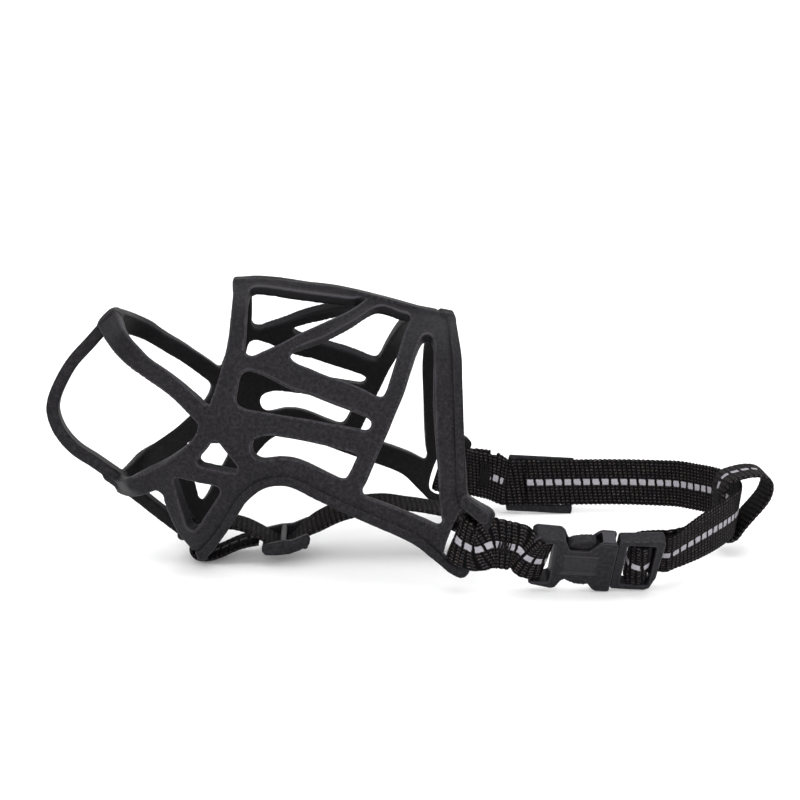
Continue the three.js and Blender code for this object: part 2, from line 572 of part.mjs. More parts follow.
// ---- bar-tack stitching: one zigzag thread over each sewn joint ----
function stitching({ at, along, up, out, length, height }) {
  const rows = 7;
  const [alongDir, upDir, outDir] = [along, up, out].map(
    (direction) => new THREE.Vector3(...direction).normalize());
  const stations = [];
  for (let k = 0; k <= rows; k++) {
    const point = new THREE.Vector3(...at)
      .addScaledVector(alongDir, (k / rows - 0.5) * length)
      .addScaledVector(upDir, (k % 2 ? 0.5 : -0.5) * height)
      .addScaledVector(outDir, WEB_THICK / 2 + 0.65);
    stations.push({ at: point.toArray(), across: outDir.toArray() });
  }
  return ribbon(stations, flatSection(0.4, 0.5), 1);
}

const STITCHING = {
  near_tab: {
    at: [30.2, -48.1, 16.0], length: 4, height: 9,
    along: [1, -0.06, -0.35], up: leanOut(NEAR, 30), out: [-0.02, -0.87, -0.47],
  },
  far_loop: {
    at: [32.0, 44.9, 15.4], length: 4, height: 9,
    along: [1, 0.42, -0.33], up: leanOut(FAR, 24), out: [0.33, -0.87, 0.35],
  },
  neck_strap: {
    at: [90.8, -34.2, 13.4], length: 5, height: 9,
    along: [0.79, 0.61, 0.13], up: [0.28, -0.38, 0.88], out: [-0.55, 0.72, 0.44],
  },
  collar_loop: {
    at: [108.05, COLLAR_Y, 19.8], length: 5, height: 12,
    along: [0, 0, 1], up: [0, 1, 0], out: [-1, 0, 0],
  },
  chin_strap: {
    at: [-50.0, 0, 5.9], length: 5, height: 12,
    along: [1, 0, 0.22], up: [0, 1, 0], out: [0.22, 0, -1],
  },
  chin_end: {
    at: [20.6, 0, 14.2], length: 5, height: 12,
    along: [1, 0, -0.2], up: [0, 1, 0], out: [0.2, 0, 1],
  },
};

// ---- assembly ----
const RUBBER = { color: 0x2f2d31, roughness: 0.72 };
const WEB = { color: 0x1d1b1c, roughness: 0.9 };
const PLASTIC = { color: 0x202024, roughness: 0.45 };
const THREAD = { color: 0x161518, roughness: 0.8 };

const group = new THREE.Group();
const body = new THREE.Group();
group.add(body);

function add(name, manifold, finish, frame) {
  const material = new THREE.MeshStandardMaterial({ ...finish, metalness: 0 });
  const mesh = new THREE.Mesh(geometryOf(manifold), material);
  mesh.name = name;
  if (frame) frame.decompose(mesh.position, mesh.quaternion, mesh.scale);
  body.add(mesh);
}

add("basket", basket(), RUBBER);
add("near_tab_webbing", webbing(nearTab), WEB);
add("far_loop_webbing", webbing(farLoop), WEB);
add("neck_strap_webbing", webbing(neckStrap), WEB);
add("collar_loop_webbing", webbing(alongXZ(COLLAR, COLLAR_Y)), WEB);
add("chin_strap_webbing", webbing(chinStrap), WEB);
add("buckle_socket", buckleSocket(), PLASTIC, buckleFrame);
add("buckle_plug", bucklePlug(), PLASTIC, buckleFrame);
add("buckle_prong_upper", prong(upperProng), PLASTIC, buckleFrame);
add("buckle_prong_lower", prong(lowerProng), PLASTIC, buckleFrame);
add("neck_slider", neckSlider(), PLASTIC, sliderFrame);
add("chin_slider", chinSlider(), PLASTIC);
for (const [joint, tack] of Object.entries(STITCHING)) {
  add(`${joint}_stitching`, stitching(tack), THREAD);
}

// The origin is the middle of the footprint on the table.
const bounds = new THREE.Box3().setFromObject(group);
const centre = bounds.getCenter(new THREE.Vector3());
body.position.set(-centre.x, -centre.y, -bounds.min.z);

export default group;
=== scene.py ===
"""A dog's basket muzzle: a moulded basket, five woven straps, a side-release buckle and two sliders.

Drawing coordinates are millimetres: the nose points to -x, the neck straps lie towards +x,
y crosses the muzzle (the near cheek is -y) and z is up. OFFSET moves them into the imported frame.
"""
import math
import bmesh
import bpy
import numpy as np
from mathutils import Matrix, Vector


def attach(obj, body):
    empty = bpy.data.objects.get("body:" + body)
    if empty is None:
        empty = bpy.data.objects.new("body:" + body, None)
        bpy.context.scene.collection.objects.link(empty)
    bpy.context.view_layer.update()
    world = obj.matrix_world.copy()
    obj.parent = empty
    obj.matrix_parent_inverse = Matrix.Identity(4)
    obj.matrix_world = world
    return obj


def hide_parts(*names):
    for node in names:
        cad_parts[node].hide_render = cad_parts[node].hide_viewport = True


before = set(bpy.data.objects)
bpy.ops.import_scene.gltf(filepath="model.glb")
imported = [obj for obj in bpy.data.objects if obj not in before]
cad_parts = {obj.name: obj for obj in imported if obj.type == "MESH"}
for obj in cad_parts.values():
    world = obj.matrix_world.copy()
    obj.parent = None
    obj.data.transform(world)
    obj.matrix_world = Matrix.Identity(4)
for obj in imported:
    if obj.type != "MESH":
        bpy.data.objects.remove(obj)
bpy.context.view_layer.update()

MM = 0.001
OFFSET = np.array([-4.537120819, -1.934177675, 0.359967843])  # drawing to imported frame, mm
NEAR, FAR = -1, 1  # sign of y on each side


def to_frame(points):
    return (np.asarray(points, float) + OFFSET) * MM


# ---------------------------------------------------------------- curves
def smooth_curve(points, per_span=None, step=None):
    """Centripetal Catmull-Rom curve: its points, and the place of each counted in spans."""
    points = np.asarray(points, float)
    padded = np.vstack([2 * points[0] - points[1], points, 2 * points[-1] - points[-2]])
    spans = len(points) - 1
    curve, places = [], []
    for i in range(spans):
        before, start, end, after = padded[i:i + 4]
        pairs = ((before, start), (start, end), (end, after))
        gaps = [max(np.linalg.norm(b - a), 1e-9) ** 0.5 for a, b in pairs]
        # repeated points get a usable gap
        if gaps[1] < 1e-4:
            gaps[1] = 1.0
        for k in (0, 2):
            if gaps[k] < 1e-4:
                gaps[k] = gaps[1]
        lead, gap, trail = gaps
        slope_in = (start - before) / lead - (end - before) / (lead + gap) + (end - start) / gap
        slope_out = (end - start) / gap - (after - start) / (gap + trail) + (after - end) / trail
        slope_in *= gap
        slope_out *= gap
        count = per_span or max(2, int(math.ceil(np.linalg.norm(end - start) / step)))
        t = (np.arange(count) / count)[:, None]
        square = -3 * start + 3 * end - 2 * slope_in - slope_out
        cube = 2 * start - 2 * end + slope_in + slope_out
        curve.append(start + slope_in * t + square * t * t + cube * t ** 3)
        places.append(i + t[:, 0])
    curve.append(points[-1:])
    places.append(np.array([float(spans)]))
    return np.vstack(curve), np.concatenate(places)


def smooth_outline(points, step=0.8):
    """A closed smooth outline through the points."""
    points = np.asarray(points, float)
    curve, places = smooth_curve(np.vstack([points[-2:], points, points[:3]]), step=step)
    return curve[(places >= 2) & (places < 2 + len(points))]


def fillet(points, radius, arc_points=5):
    """The outline with every corner rounded to the radius where the sides allow it."""
    points = np.asarray(points, float)
    outline = []
    for i, corner in enumerate(points):
        back, ahead = points[i - 1] - corner, points[(i + 1) % len(points)] - corner
        back_length, ahead_length = np.linalg.norm(back), np.linalg.norm(ahead)
        back, ahead = back / back_length, ahead / ahead_length
        half_angle = math.acos(np.clip(back @ ahead, -1, 1)) / 2
        if half_angle > math.pi / 2 - 0.03:  # nearly straight
            outline.append(corner)
            continue
        cut = min(radius / math.tan(half_angle), 0.45 * back_length, 0.45 * ahead_length)
        start, end = corner + back * cut, corner + ahead * cut
        for t in np.linspace(0, 1, arc_points):
            outline.append((1 - t) ** 2 * start + 2 * t * (1 - t) * corner + t * t * end)
    return np.array(outline)


# ---------------------------------------------------------------- signed distances
def line_distance(query, line, closed=False):
    """Distance from points (N, 2) to a polyline."""
    starts = line if closed else line[:-1]
    ends = np.roll(line, -1, 0) if closed else line[1:]
    best = np.full(len(query), 1e9, np.float32)
    for start, end in zip(starts, ends):
        edge = end - start
        square = float(edge @ edge)
        if square < 1e-12:
            continue
        t = np.clip(((query - start) @ edge) / square, 0, 1)
        dx = query[:, 0] - start[0] - t * edge[0]
        dz = query[:, 1] - start[1] - t * edge[1]
        np.minimum(best, (dx * dx + dz * dz).astype(np.float32), out=best)
    return np.sqrt(best)


def inside(query, outline):
    odd = np.zeros(len(query), bool)
    for start, end in zip(outline, np.roll(outline, -1, 0)):
        if abs(end[1] - start[1]) < 1e-12:
            continue
        crosses = (start[1] > query[:, 1]) != (end[1] > query[:, 1])
        at = (end[0] - start[0]) * (query[:, 1] - start[1]) / (end[1] - start[1]) + start[0]
        odd ^= crosses & (query[:, 0] < at)
    return odd


def outline_distance(query, outline):
    distance = line_distance(query, outline, True)
    return np.where(inside(query, outline), -distance, distance)


def smooth_min(a, b, width):
    share = np.clip(0.5 + 0.5 * (b - a) / width, 0, 1)
    return b + (a - b) * share - width * share * (1 - share)


def smooth_max(a, b, width):
    return -smooth_min(-a, -b, width)


def smooth_step(x, low, high):
    t = np.clip((x - low) / (high - low), 0, 1)
    return t * t * (3 - 2 * t)


def slab(outline, depth, rounding):
    """Overlap of an outline's distance and a depth's distance, with rounded edges."""
    a, b = outline + rounding, depth + rounding
    outer = np.hypot(np.maximum(a, 0), np.maximum(b, 0))
    return outer + np.minimum(np.maximum(a, b), 0) - rounding


def box_distance(points, low, high, rounding):
    centre = (np.array(low) + np.array(high)) / 2
    half = (np.array(high) - np.array(low)) / 2
    past = np.abs(points - centre) - half + rounding
    return np.linalg.norm(np.maximum(past, 0), axis=1) + np.minimum(past.max(1), 0) - rounding


class Table2D:
    """A function of (x, z) kept on a fine grid and read by bilinear interpolation."""

    def __init__(self, function, x_low, x_high, z_low, z_high, step):
        self.x_low, self.z_low, self.step = x_low, z_low, step
        xs = np.arange(x_low, x_high + step / 2, step)
        zs = np.arange(z_low, z_high + step / 2, step)
        query = np.stack(np.meshgrid(xs, zs, indexing="ij"), -1).reshape(-1, 2)
        self.values = function(query).reshape(len(xs), len(zs)).astype(np.float32)

    def __call__(self, x, z):
        values = self.values
        column = np.clip((x - self.x_low) / self.step, 0, values.shape[0] - 1.001)
        row = np.clip((z - self.z_low) / self.step, 0, values.shape[1] - 1.001)
        i, j = column.astype(np.int32), row.astype(np.int32)
        u, w = column - i, row - j
        return (values[i, j] * (1 - u) * (1 - w) + values[i + 1, j] * u * (1 - w)
                + values[i, j + 1] * (1 - u) * w + values[i + 1, j + 1] * u * w)


# ---------------------------------------------------------------- surface of a distance field
COARSE = 4  # grid steps in one block of the first, coarse look
FAR_OFF = 9.0  # distance stored where the surface is not near
CORNERS = [(a, b, c) for a in (0, 1) for b in (0, 1) for c in (0, 1)]


def corner_view(grid, corner):
    """The grid less one layer on each axis, shifted to the given cell corner."""
    return grid[tuple(slice(c, c + n - 1) for c, n in zip(corner, grid.shape))]


def refine(blocks):
    for axis in range(3):
        blocks = np.repeat(blocks, COARSE, axis)
    return blocks


def sample_field(field, low, high, step):
    """Grid origin and field values, worked out only in the blocks near the surface."""
    low, high = np.array(low, float) - step * 1.5, np.array(high, float) + step * 1.5
    count = np.ceil((high - low) / step).astype(int) + 1
    count = ((count + COARSE - 1) // COARSE) * COARSE + 1
    blocks = (count - 1) // COARSE
    size = step * COARSE
    axes = [low[k] + (np.arange(blocks[k]) + 0.5) * size for k in range(3)]
    centres = np.stack(np.meshgrid(*axes, indexing="ij"), -1).reshape(-1, 3)
    chunk = 400000
    coarse = [field(centres[i:i + chunk]) for i in range(0, len(centres), chunk)]
    coarse = np.concatenate(coarse).reshape(blocks)
    values = np.full(count, FAR_OFF, np.float32)
    values[:-1, :-1, :-1] = refine(np.where(coarse < 0, -FAR_OFF, FAR_OFF).astype(np.float32))
    near = refine(np.abs(coarse) < size * 1.45)
    wanted = np.zeros(count, bool)
    for corner in CORNERS:
        view = corner_view(wanted, corner)
        view |= near
    wanted = np.argwhere(wanted)
    chunk = 600000
    for start in range(0, len(wanted), chunk):
        part = wanted[start:start + chunk]
        values[part[:, 0], part[:, 1], part[:, 2]] = field(low + part * step)
    return low, values


def cell_centres(values, cells):
    """Mean of the points where the surface crosses the edges of each cell, in grid steps."""
    total = np.zeros((len(cells), 3))
    hits = np.zeros(len(cells))
    for axis in range(3):
        side, other = [k for k in range(3) if k != axis]
        for shift in (0, 1):
            for other_shift in (0, 1):
                start = cells.copy()
                start[:, side] += shift
                start[:, other] += other_shift
                end = start.copy()
                end[:, axis] += 1
                first = values[start[:, 0], start[:, 1], start[:, 2]]
                last = values[end[:, 0], end[:, 1], end[:, 2]]
                crossed = (first < 0) != (last < 0)
                t = np.where(crossed, first / np.where(crossed, first - last, 1), 0)
                point = start.astype(float)
                point[:, axis] += t
                total[crossed] += point[crossed]
                hits[crossed] += 1
    return total / hits[:, None]


def cell_faces(negative, index):
    """One quad around every grid edge the surface crosses."""
    faces = []
    for axis in range(3):
        side, other = (axis + 1) % 3, (axis + 2) % 3

        def layer(along):
            return negative[tuple(along if k == axis else slice(1, -1) for k in range(3))]

        start, end = layer(slice(0, -1)), layer(slice(1, None))
        edges = np.argwhere(start != end)
        leaving = start[edges[:, 0], edges[:, 1], edges[:, 2]]
        edges[:, [side, other]] += 1

        def cell(back, other_back):
            at = edges.copy()
            at[:, side] -= back
            at[:, other] -= other_back
            return index[at[:, 0], at[:, 1], at[:, 2]]

        quads = np.stack([cell(1, 1), cell(0, 1), cell(0, 0), cell(1, 0)], 1)
        quads[~leaving] = quads[~leaving][:, ::-1]
        faces.append(quads)
    faces = np.vstack(faces)
    return faces[(faces >= 0).all(1)]


def relaxed(points, faces):
    """Each point moved halfway to the mean of its neighbours."""
    total = np.zeros_like(points)
    count = np.zeros(len(points))
    for a, b in ((0, 1), (1, 2), (2, 3), (3, 0)):
        for here, there in ((a, b), (b, a)):
            for k in range(3):
                neighbour = points[faces[:, there], k]
                total[:, k] += np.bincount(faces[:, here], neighbour, len(points))
            count += np.bincount(faces[:, here], minlength=len(points))
    return 0.5 * points + 0.5 * total / np.maximum(count, 1)[:, None]


def differences(field, points, reach):
    """Change of the field across each point, from -reach to +reach on each axis."""
    return np.stack([field(points + d) - field(points - d) for d in np.eye(3) * reach], 1)


def onto_surface(field, points, step):
    reach = step * 0.25
    value = field(points)
    slope = differences(field, points, reach) / (2 * reach)
    square = np.maximum((slope * slope).sum(1), 0.05)
    move = np.clip(value / square, -step * 0.7, step * 0.7)
    return points - slope * move[:, None]


def field_mesh(field, low, high, step):
    """The zero surface of a signed distance as quads (surface nets)."""
    low, values = sample_field(field, low, high, step)
    negative = values < 0
    below = np.zeros(np.array(values.shape) - 1, np.int8)
    for corner in CORNERS:
        below += corner_view(negative, corner)
    active = (below > 0) & (below < 8)
    cells = np.argwhere(active)
    index = np.full(active.shape, -1, np.int64)
    index[active] = np.arange(len(cells))
    points = low + cell_centres(values, cells) * step
    faces = cell_faces(negative, index)
    points = relaxed(points, faces)
    for _ in range(2):
        points = onto_surface(field, points, step)
    return points, faces


# ---------------------------------------------------------------- objects
def add_object(name, data):
    made = bpy.data.objects.new(name, data)
    bpy.context.scene.collection.objects.link(made)
    return made


def shade_smooth(mesh):
    mesh.polygons.foreach_set("use_smooth", np.ones(len(mesh.polygons), bool))


def quad_object(name, points, faces):
    """A smooth-shaded object; points in metres."""
    mesh = bpy.data.meshes.new(name)
    mesh.vertices.add(len(points))
    mesh.vertices.foreach_set("co", np.asarray(points, np.float32).ravel())
    mesh.loops.add(faces.size)
    mesh.loops.foreach_set("vertex_index", faces.astype(np.int32).ravel())
    mesh.polygons.add(len(faces))
    mesh.polygons.foreach_set("loop_start", np.arange(0, faces.size, 4, dtype=np.int32))
    mesh.update(calc_edges=True)
    mesh.validate()
    shade_smooth(mesh)
    return add_object(name, mesh)


def add_attribute(made, name, values):
    attribute = made.data.attributes.new(name, "FLOAT", "POINT")
    attribute.data.foreach_set("value", values.astype(np.float32))


def add_edge_attributes(made, field, points, depth):
    """How far each point is from flat: "edge" on outside corners, "crease" in inside ones; the
    material paints a highlight on the edges and shade in the creases.
    """
    normal = differences(field, points, 0.12)
    normal /= np.maximum(np.linalg.norm(normal, axis=1), 1e-9)[:, None]
    edge = (field(points - normal * depth) + depth) / depth
    crease = (depth - field(points + normal * depth)) / depth
    add_attribute(made, "edge", np.clip(edge, 0, 1))
    add_attribute(made, "crease", np.clip(crease, 0, 1))


def register(made, body, node=None):
    """Tells the frame which body carries the piece, which node it replaces."""
    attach(made, body)
    if node:
        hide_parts(node)


def tube(path, radius, sides, closed=False):
    """Points and quads of a tube; the radius may vary along it. The side count is even."""
    path = np.asarray(path, float)
    count = len(path)
    if closed:
        after, before = np.roll(path, -1, 0), np.roll(path, 1, 0)
    else:
        after = np.vstack([path[1:], 2 * path[-1:] - path[-2:-1]])
        before = np.vstack([2 * path[:1] - path[1:2], path[:-1]])
    tangent = after - before
    tangent /= np.maximum(np.linalg.norm(tangent, axis=1), 1e-9)[:, None]
    upward = np.zeros_like(tangent)
    # each upward vector is the last one made square to the path
    carried = np.array([0.0, 0.0, 1.0]) if abs(tangent[0][2]) < 0.9 else np.array([1.0, 0, 0])
    for i in range(count):
        square = carried - (carried @ tangent[i]) * tangent[i]
        length = np.linalg.norm(square)
        carried = square / length if length > 1e-6 else upward[i - 1]
        upward[i] = carried
    sideways = np.cross(tangent, upward)
    angle = (np.arange(sides) / sides * 2 * math.pi)[None, :, None]
    spokes = np.cos(angle) * upward[:, None] + np.sin(angle) * sideways[:, None]
    radii = np.broadcast_to(radius, count)[:, None, None]
    points = (path[:, None] + spokes * radii).reshape(-1, 3)
    quads = []
    for i in range(count if closed else count - 1):
        j = (i + 1) % count
        for k in range(sides):
            n = (k + 1) % sides
            quads.append((i * sides + k, i * sides + n, j * sides + n, j * sides + k))
    if not closed:
        for base, turn in ((0, 1), ((count - 1) * sides, -1)):
            for k in range(1, sides - 1, 2):
                quads.append((base, base + k + 2, base + k + 1, base + k)[::turn])
    return points, np.array(quads)


def join(parts):
    points, quads, count = [], [], 0
    for part_points, part_quads in parts:
        points.append(part_points)
        quads.append(part_quads + count)
        count += len(part_points)
    return np.vstack(points), np.vstack(quads)


# ---------------------------------------------------------------- the basket's measurements
# Half width of the basket at measured places: [x, z, half width].
MEASURED_HALF_WIDTHS = [
  [-61.0, 58.8, 31.1], [-48.4, 74.1, 27.2], [-48.9, 69.1, 28.4], [-10.5, 53.7, 35.9],
  [-47.6, 46.2, 34.0], [-18.6, 36.9, 38.3], [-15.4, 42.9, 36.8], [-7.7, 61.3, 32.7],
  [11.3, 23.9, 42.9], [-35.3, 72.9, 26.2], [-64.5, 53.2, 30.2], [-67.5, 15.9, 18.1],
  [3.6, 17.0, 42.6], [27.6, 26.8, 48.1], [-93.1, 83.5, 0.0], [-93.7, 27.0, 0.0],
  [-53.0, 93.0, 0.0], [-30.0, 91.1, 0.0], [-10.0, 87.1, 0.0], [5.0, 83.5, 0.0],
  [16.0, 81.0, 0.0], [-51.0, 87.5, 15.0], [-49.5, 80.5, 22.5], [14.0, 78.0, 11.0],
  [15.0, 73.5, 20.0], [15.5, 66.5, 27.5], [16.0, 56.5, 33.5], [16.0, 43.5, 39.5],
  [16.0, 31.5, 43.5], [16.0, 21.5, 43.0], [17.0, 11.5, 40.0], [18.0, 4.5, 37.5],
  [20.9, 8.1, 40.0], [-30.0, 86.5, 13.0], [-15.0, 82.5, 13.0], [-15.0, 76.5, 21.0],
  [-12.0, 67.5, 28.5], [-66.0, 1.5, 11.5], [-76.0, 22.5, 14.0], [-70.0, 7.5, 9.5],
  [-75.0, 14.5, 10.0], [-54.0, 16.5, 22.0], [-48.0, 24.5, 29.0], [-39.0, 28.5, 34.0],
  [-22.0, 23.5, 39.0], [-59.0, 41.5, 30.5], [-72.0, 29.5, 20.0], [-89.5, 80.0, 14.9],
  [-84.5, 75.0, 22.5], [-77.5, 70.0, 24.8], [-70.0, 64.0, 27.2], [-88.5, 29.0, 17.0],
  [-81.0, 31.0, 17.0],
]
# Outer edge of one cheek, seen square from the side: [x, z].
SIDE_OUTLINE = [
  [-95.5, 82.9], [-94.3, 84.0], [-92.3, 84.0], [-88.0, 79.6], [-83.4, 75.9], [-80.1, 73.0],
  [-73.8, 68.8], [-67.4, 63.9], [-64.2, 61.3], [-62.0, 59.4], [-60.9, 59.3], [-60.4, 60.7],
  [-59.1, 64.1], [-57.5, 69.2], [-56.0, 74.3], [-55.1, 78.6], [-54.5, 84.0], [-54.3, 89.1],
  [-54.4, 93.0], [-53.7, 94.8], [-52.4, 95.2], [-42.6, 94.4], [-31.8, 93.4], [-18.4, 91.6],
  [-12.2, 90.1], [-4.6, 87.9], [3.3, 85.7], [9.9, 83.6], [12.9, 83.0], [15.5, 83.4],
  [17.2, 82.3], [18.0, 80.2], [18.2, 76.0], [18.4, 71.1], [18.2, 64.4], [18.4, 57.6],
  [18.6, 50.1], [18.9, 42.9], [19.1, 37.1], [19.3, 33.2], [20.2, 31.6], [23.1, 30.4],
  [26.1, 29.1], [27.7, 27.0], [27.1, 25.0], [21.1, 8.1], [20.7, 6.5], [19.5, 4.7],
  [18.0, 4.2], [14.1, 6.2], [11.1, 9.1], [7.2, 12.8], [3.3, 16.4], [-1.7, 19.1],
  [-8.0, 21.7], [-15.8, 24.9], [-18.9, 26.2], [-23.6, 28.3], [-28.9, 30.7], [-33.0, 32.8],
  [-36.2, 34.0], [-39.0, 34.2], [-41.9, 33.8], [-44.8, 32.5], [-47.8, 29.9], [-50.4, 26.8],
  [-53.1, 21.9], [-56.1, 16.5], [-59.0, 11.7], [-61.1, 8.3], [-63.3, 4.9], [-64.9, 3.8],
  [-66.8, 5.1], [-69.1, 7.2], [-71.1, 9.6], [-73.3, 13.0], [-74.7, 16.5], [-76.1, 20.7],
  [-77.2, 24.7], [-77.6, 27.1], [-78.9, 28.4], [-79.8, 28.7], [-82.2, 27.8], [-85.8, 26.1],
  [-89.9, 23.7], [-93.2, 23.1], [-96.1, 25.6], [-97.3, 27.7], [-96.0, 28.2], [-92.0, 29.8],
  [-86.7, 33.3], [-81.5, 36.2], [-76.4, 39.4], [-71.2, 43.5], [-67.8, 46.7], [-65.4, 49.9],
  [-64.6, 52.6], [-65.3, 54.0], [-67.5, 56.1], [-73.8, 61.7], [-80.2, 66.1], [-86.6, 70.5],
  [-92.0, 74.1], [-96.6, 77.5], [-98.1, 79.6],
]
# The rolled edge: between these outline points, down the neck opening and along the jaw.
ROLL_START, ROLL_END = [15.5, 83.4], [-64.9, 3.8]
# Openings of the cheek: [x, z].
OPENINGS = [
  [  # top, towards the front
    [-48.0, 91.0], [-32.8, 89.4], [-21.4, 87.8], [-15.9, 87.0], [-11.2, 87.3], [-16.6, 84.6],
    [-26.3, 81.6], [-32.7, 79.4], [-39.0, 76.8], [-44.6, 74.8], [-47.5, 73.8], [-49.2, 74.2],
    [-50.0, 75.8], [-49.7, 78.6], [-49.4, 84.1], [-49.0, 89.7],
  ],
  [  # top, behind it
    [-7.0, 84.4], [-0.2, 82.4], [2.1, 81.8], [2.7, 80.9], [0.4, 77.1], [-1.9, 72.1],
    [-4.3, 66.3], [-5.8, 62.7], [-7.0, 61.3], [-8.9, 61.6], [-12.3, 63.2], [-17.0, 65.2],
    [-21.1, 66.6], [-24.8, 67.8], [-29.5, 69.7], [-33.6, 71.2], [-35.2, 72.3], [-35.8, 73.4],
    [-35.2, 74.6], [-33.6, 75.3], [-29.2, 76.7], [-25.7, 77.7], [-16.7, 81.1],
  ],
  [  # upper slot
    [-48.7, 69.5], [-44.7, 68.4], [-40.6, 66.5], [-36.5, 64.4], [-32.7, 63.1], [-29.6, 62.4],
    [-26.5, 61.2], [-21.8, 59.4], [-17.1, 57.7], [-14.0, 56.5], [-11.8, 55.5], [-10.5, 54.3],
    [-10.6, 52.9], [-11.8, 51.9], [-14.0, 52.1], [-17.1, 52.7], [-23.4, 53.8], [-29.7, 55.0],
    [-35.9, 55.9], [-42.2, 56.9], [-46.9, 57.6], [-50.0, 58.2], [-51.9, 59.1], [-52.8, 60.8],
    [-52.5, 62.9], [-51.7, 66.8], [-50.8, 68.8],
  ],
  [  # lower slot
    [-46.4, 49.1], [-43.8, 49.9], [-41.3, 50.0], [-39.1, 49.7], [-32.8, 48.7], [-26.6, 47.4],
    [-23.5, 46.7], [-19.7, 45.7], [-16.6, 44.9], [-15.0, 43.8], [-15.6, 42.1], [-17.6, 38.1],
    [-18.5, 37.0], [-20.1, 36.9], [-22.6, 37.9], [-26.0, 39.5], [-29.8, 41.3], [-32.9, 42.5],
    [-36.0, 43.2], [-39.2, 43.3], [-43.0, 42.7], [-45.5, 42.7], [-47.2, 43.9], [-48.0, 46.0],
    [-47.6, 47.9],
  ],
  [  # tall, beside the neck opening
    [6.0, 75.5], [6.8, 76.3], [8.2, 76.7], [9.4, 76.2], [10.0, 74.9], [9.6, 68.8],
    [9.2, 60.5], [9.5, 51.7], [10.0, 42.8], [10.5, 33.8], [11.1, 26.5], [11.5, 23.9],
    [10.8, 22.5], [9.6, 22.8], [6.1, 24.6], [1.4, 26.6], [-4.8, 29.0], [-11.0, 31.1],
    [-13.1, 32.1], [-13.4, 33.5], [-12.3, 35.5], [-10.3, 40.1], [-7.8, 45.7], [-5.3, 51.0],
    [-2.7, 56.9], [-0.0, 62.6], [2.5, 68.9], [4.7, 73.5],
  ],
  [  # chin, upper
    [-60.4, 47.5], [-59.2, 48.0], [-58.0, 47.4], [-55.7, 44.5], [-53.5, 41.6], [-52.3, 39.7],
    [-52.6, 38.3], [-54.3, 38.0], [-60.0, 38.8], [-63.6, 39.3], [-64.9, 40.1], [-64.7, 41.7],
    [-62.7, 44.3],
  ],
  [  # chin, lower
    [-72.9, 34.1], [-71.7, 34.4], [-68.5, 33.8], [-63.6, 33.1], [-59.0, 32.4], [-58.1, 31.3],
    [-58.8, 29.2], [-61.3, 24.8], [-64.2, 19.8], [-66.0, 16.7], [-67.7, 15.2], [-69.2, 15.9],
    [-70.3, 19.7], [-72.0, 26.3],
  ],
]
# Slot the near tab and the far loop pass through: [x, z].
STRAP_SLOT = [[18.9, 28.9], [22.8, 28.5], [16.6, 10.2], [12.3, 12.0]]
# Bars on the middle plane: [x, z] along each.
NOSE_LOOP = [
  [-93.0, 82.8], [-97.2, 78.9], [-102.0, 73.7], [-107.9, 67.3], [-112.0, 60.6], [-114.5, 54.5],
  [-114.8, 50.4], [-112.9, 44.5], [-108.2, 38.4], [-101.5, 33.6], [-93.0, 27.3],
]
RIDGE = [
  [-53.2, 92.4], [-42.7, 92.0], [-31.9, 90.9], [-18.4, 89.0], [-4.6, 85.6], [9.9, 81.5],
  [16.0, 80.3],
]
KEEL = [[-97.0, 29.0], [-88.8, 22.9], [-80.7, 16.1], [-73.0, 9.8]]

WALL_HALF = 1.7  # half the wall's thickness
ROLL_OUT, ROLL_IN = 0.50, 0.20  # extra thickness of the rolled edge, each side
GROOVE_DEPTH, GROOVE_AT, GROOVE_WIDTH = 0.38, 3.35, 0.38  # groove beside the rolled edge
LIP_HEIGHT = 0.15  # raised lip around the openings
RIDGE_FRONT = -54.6  # the ridge is cut square here
BAR_HALF_WIDTH = 2.9
# The ear above the strap slot: start and run in (x, z), radius, and how it stands off the wall.
EAR_X, EAR_Z = 19.2, 30.8
EAR_RUN_X, EAR_RUN_Z = 6.1, -3.6
EAR_RADIUS, EAR_MIDDLE, EAR_HALF_DEPTH = 1.8, 1.7, 3.2
CROSS_ROD_RADIUS = 1.8


# ---------------------------------------------------------------- the basket
def thin_plate(samples, stiffness=30.0):
    """A smooth function of (x, z) fitted to rows of x, z, value."""
    samples = np.array(samples, float)
    x, z, values = samples.T
    count = len(samples)

    def bend(distance):
        return np.where(distance > 0, distance * distance * np.log(np.maximum(distance, 1e-9)), 0.0)

    system = np.zeros((count + 3, count + 3))
    apart = np.hypot(x[:, None] - x[None, :], z[:, None] - z[None, :])
    system[:count, :count] = bend(apart) + np.eye(count) * stiffness
    for k, column in enumerate((1, x, z)):
        system[:count, count + k] = system[count + k, :count] = column
    solved = np.linalg.solve(system, np.concatenate([values, np.zeros(3)]))
    weights, (level, slope_x, slope_z) = solved[:count], solved[count:]

    def plate(query):
        distance = np.hypot(query[:, None, 0] - x[None, :], query[:, None, 1] - z[None, :])
        return bend(distance) @ weights + level + slope_x * query[:, 0] + slope_z * query[:, 1]
    return plate


exact_half_width = thin_plate(MEASURED_HALF_WIDTHS)


def half_width(x, z):
    return float(exact_half_width(np.array([[x, z]], float))[0])


def half_widths_in_chunks(query, chunk=20000):
    parts = [exact_half_width(query[i:i + chunk]) for i in range(0, len(query), chunk)]
    return np.concatenate(parts)


def on_cheek(x, z, off, side):
    """The point standing off the cheek's middle surface by the given distance."""
    width = half_width(x, z)
    slope_x = half_width(x + .5, z) - half_width(x - .5, z)
    slope_z = half_width(x, z + .5) - half_width(x, z - .5)
    length = math.sqrt(slope_x * slope_x + 1 + slope_z * slope_z)
    return np.array([x - slope_x / length * off, side * (width + off / length),
                     z - slope_z / length * off])


opening_outlines = [smooth_outline(opening) for opening in OPENINGS]
slot_outline = smooth_outline(STRAP_SLOT, 0.5)
side_outline = smooth_outline(SIDE_OUTLINE)


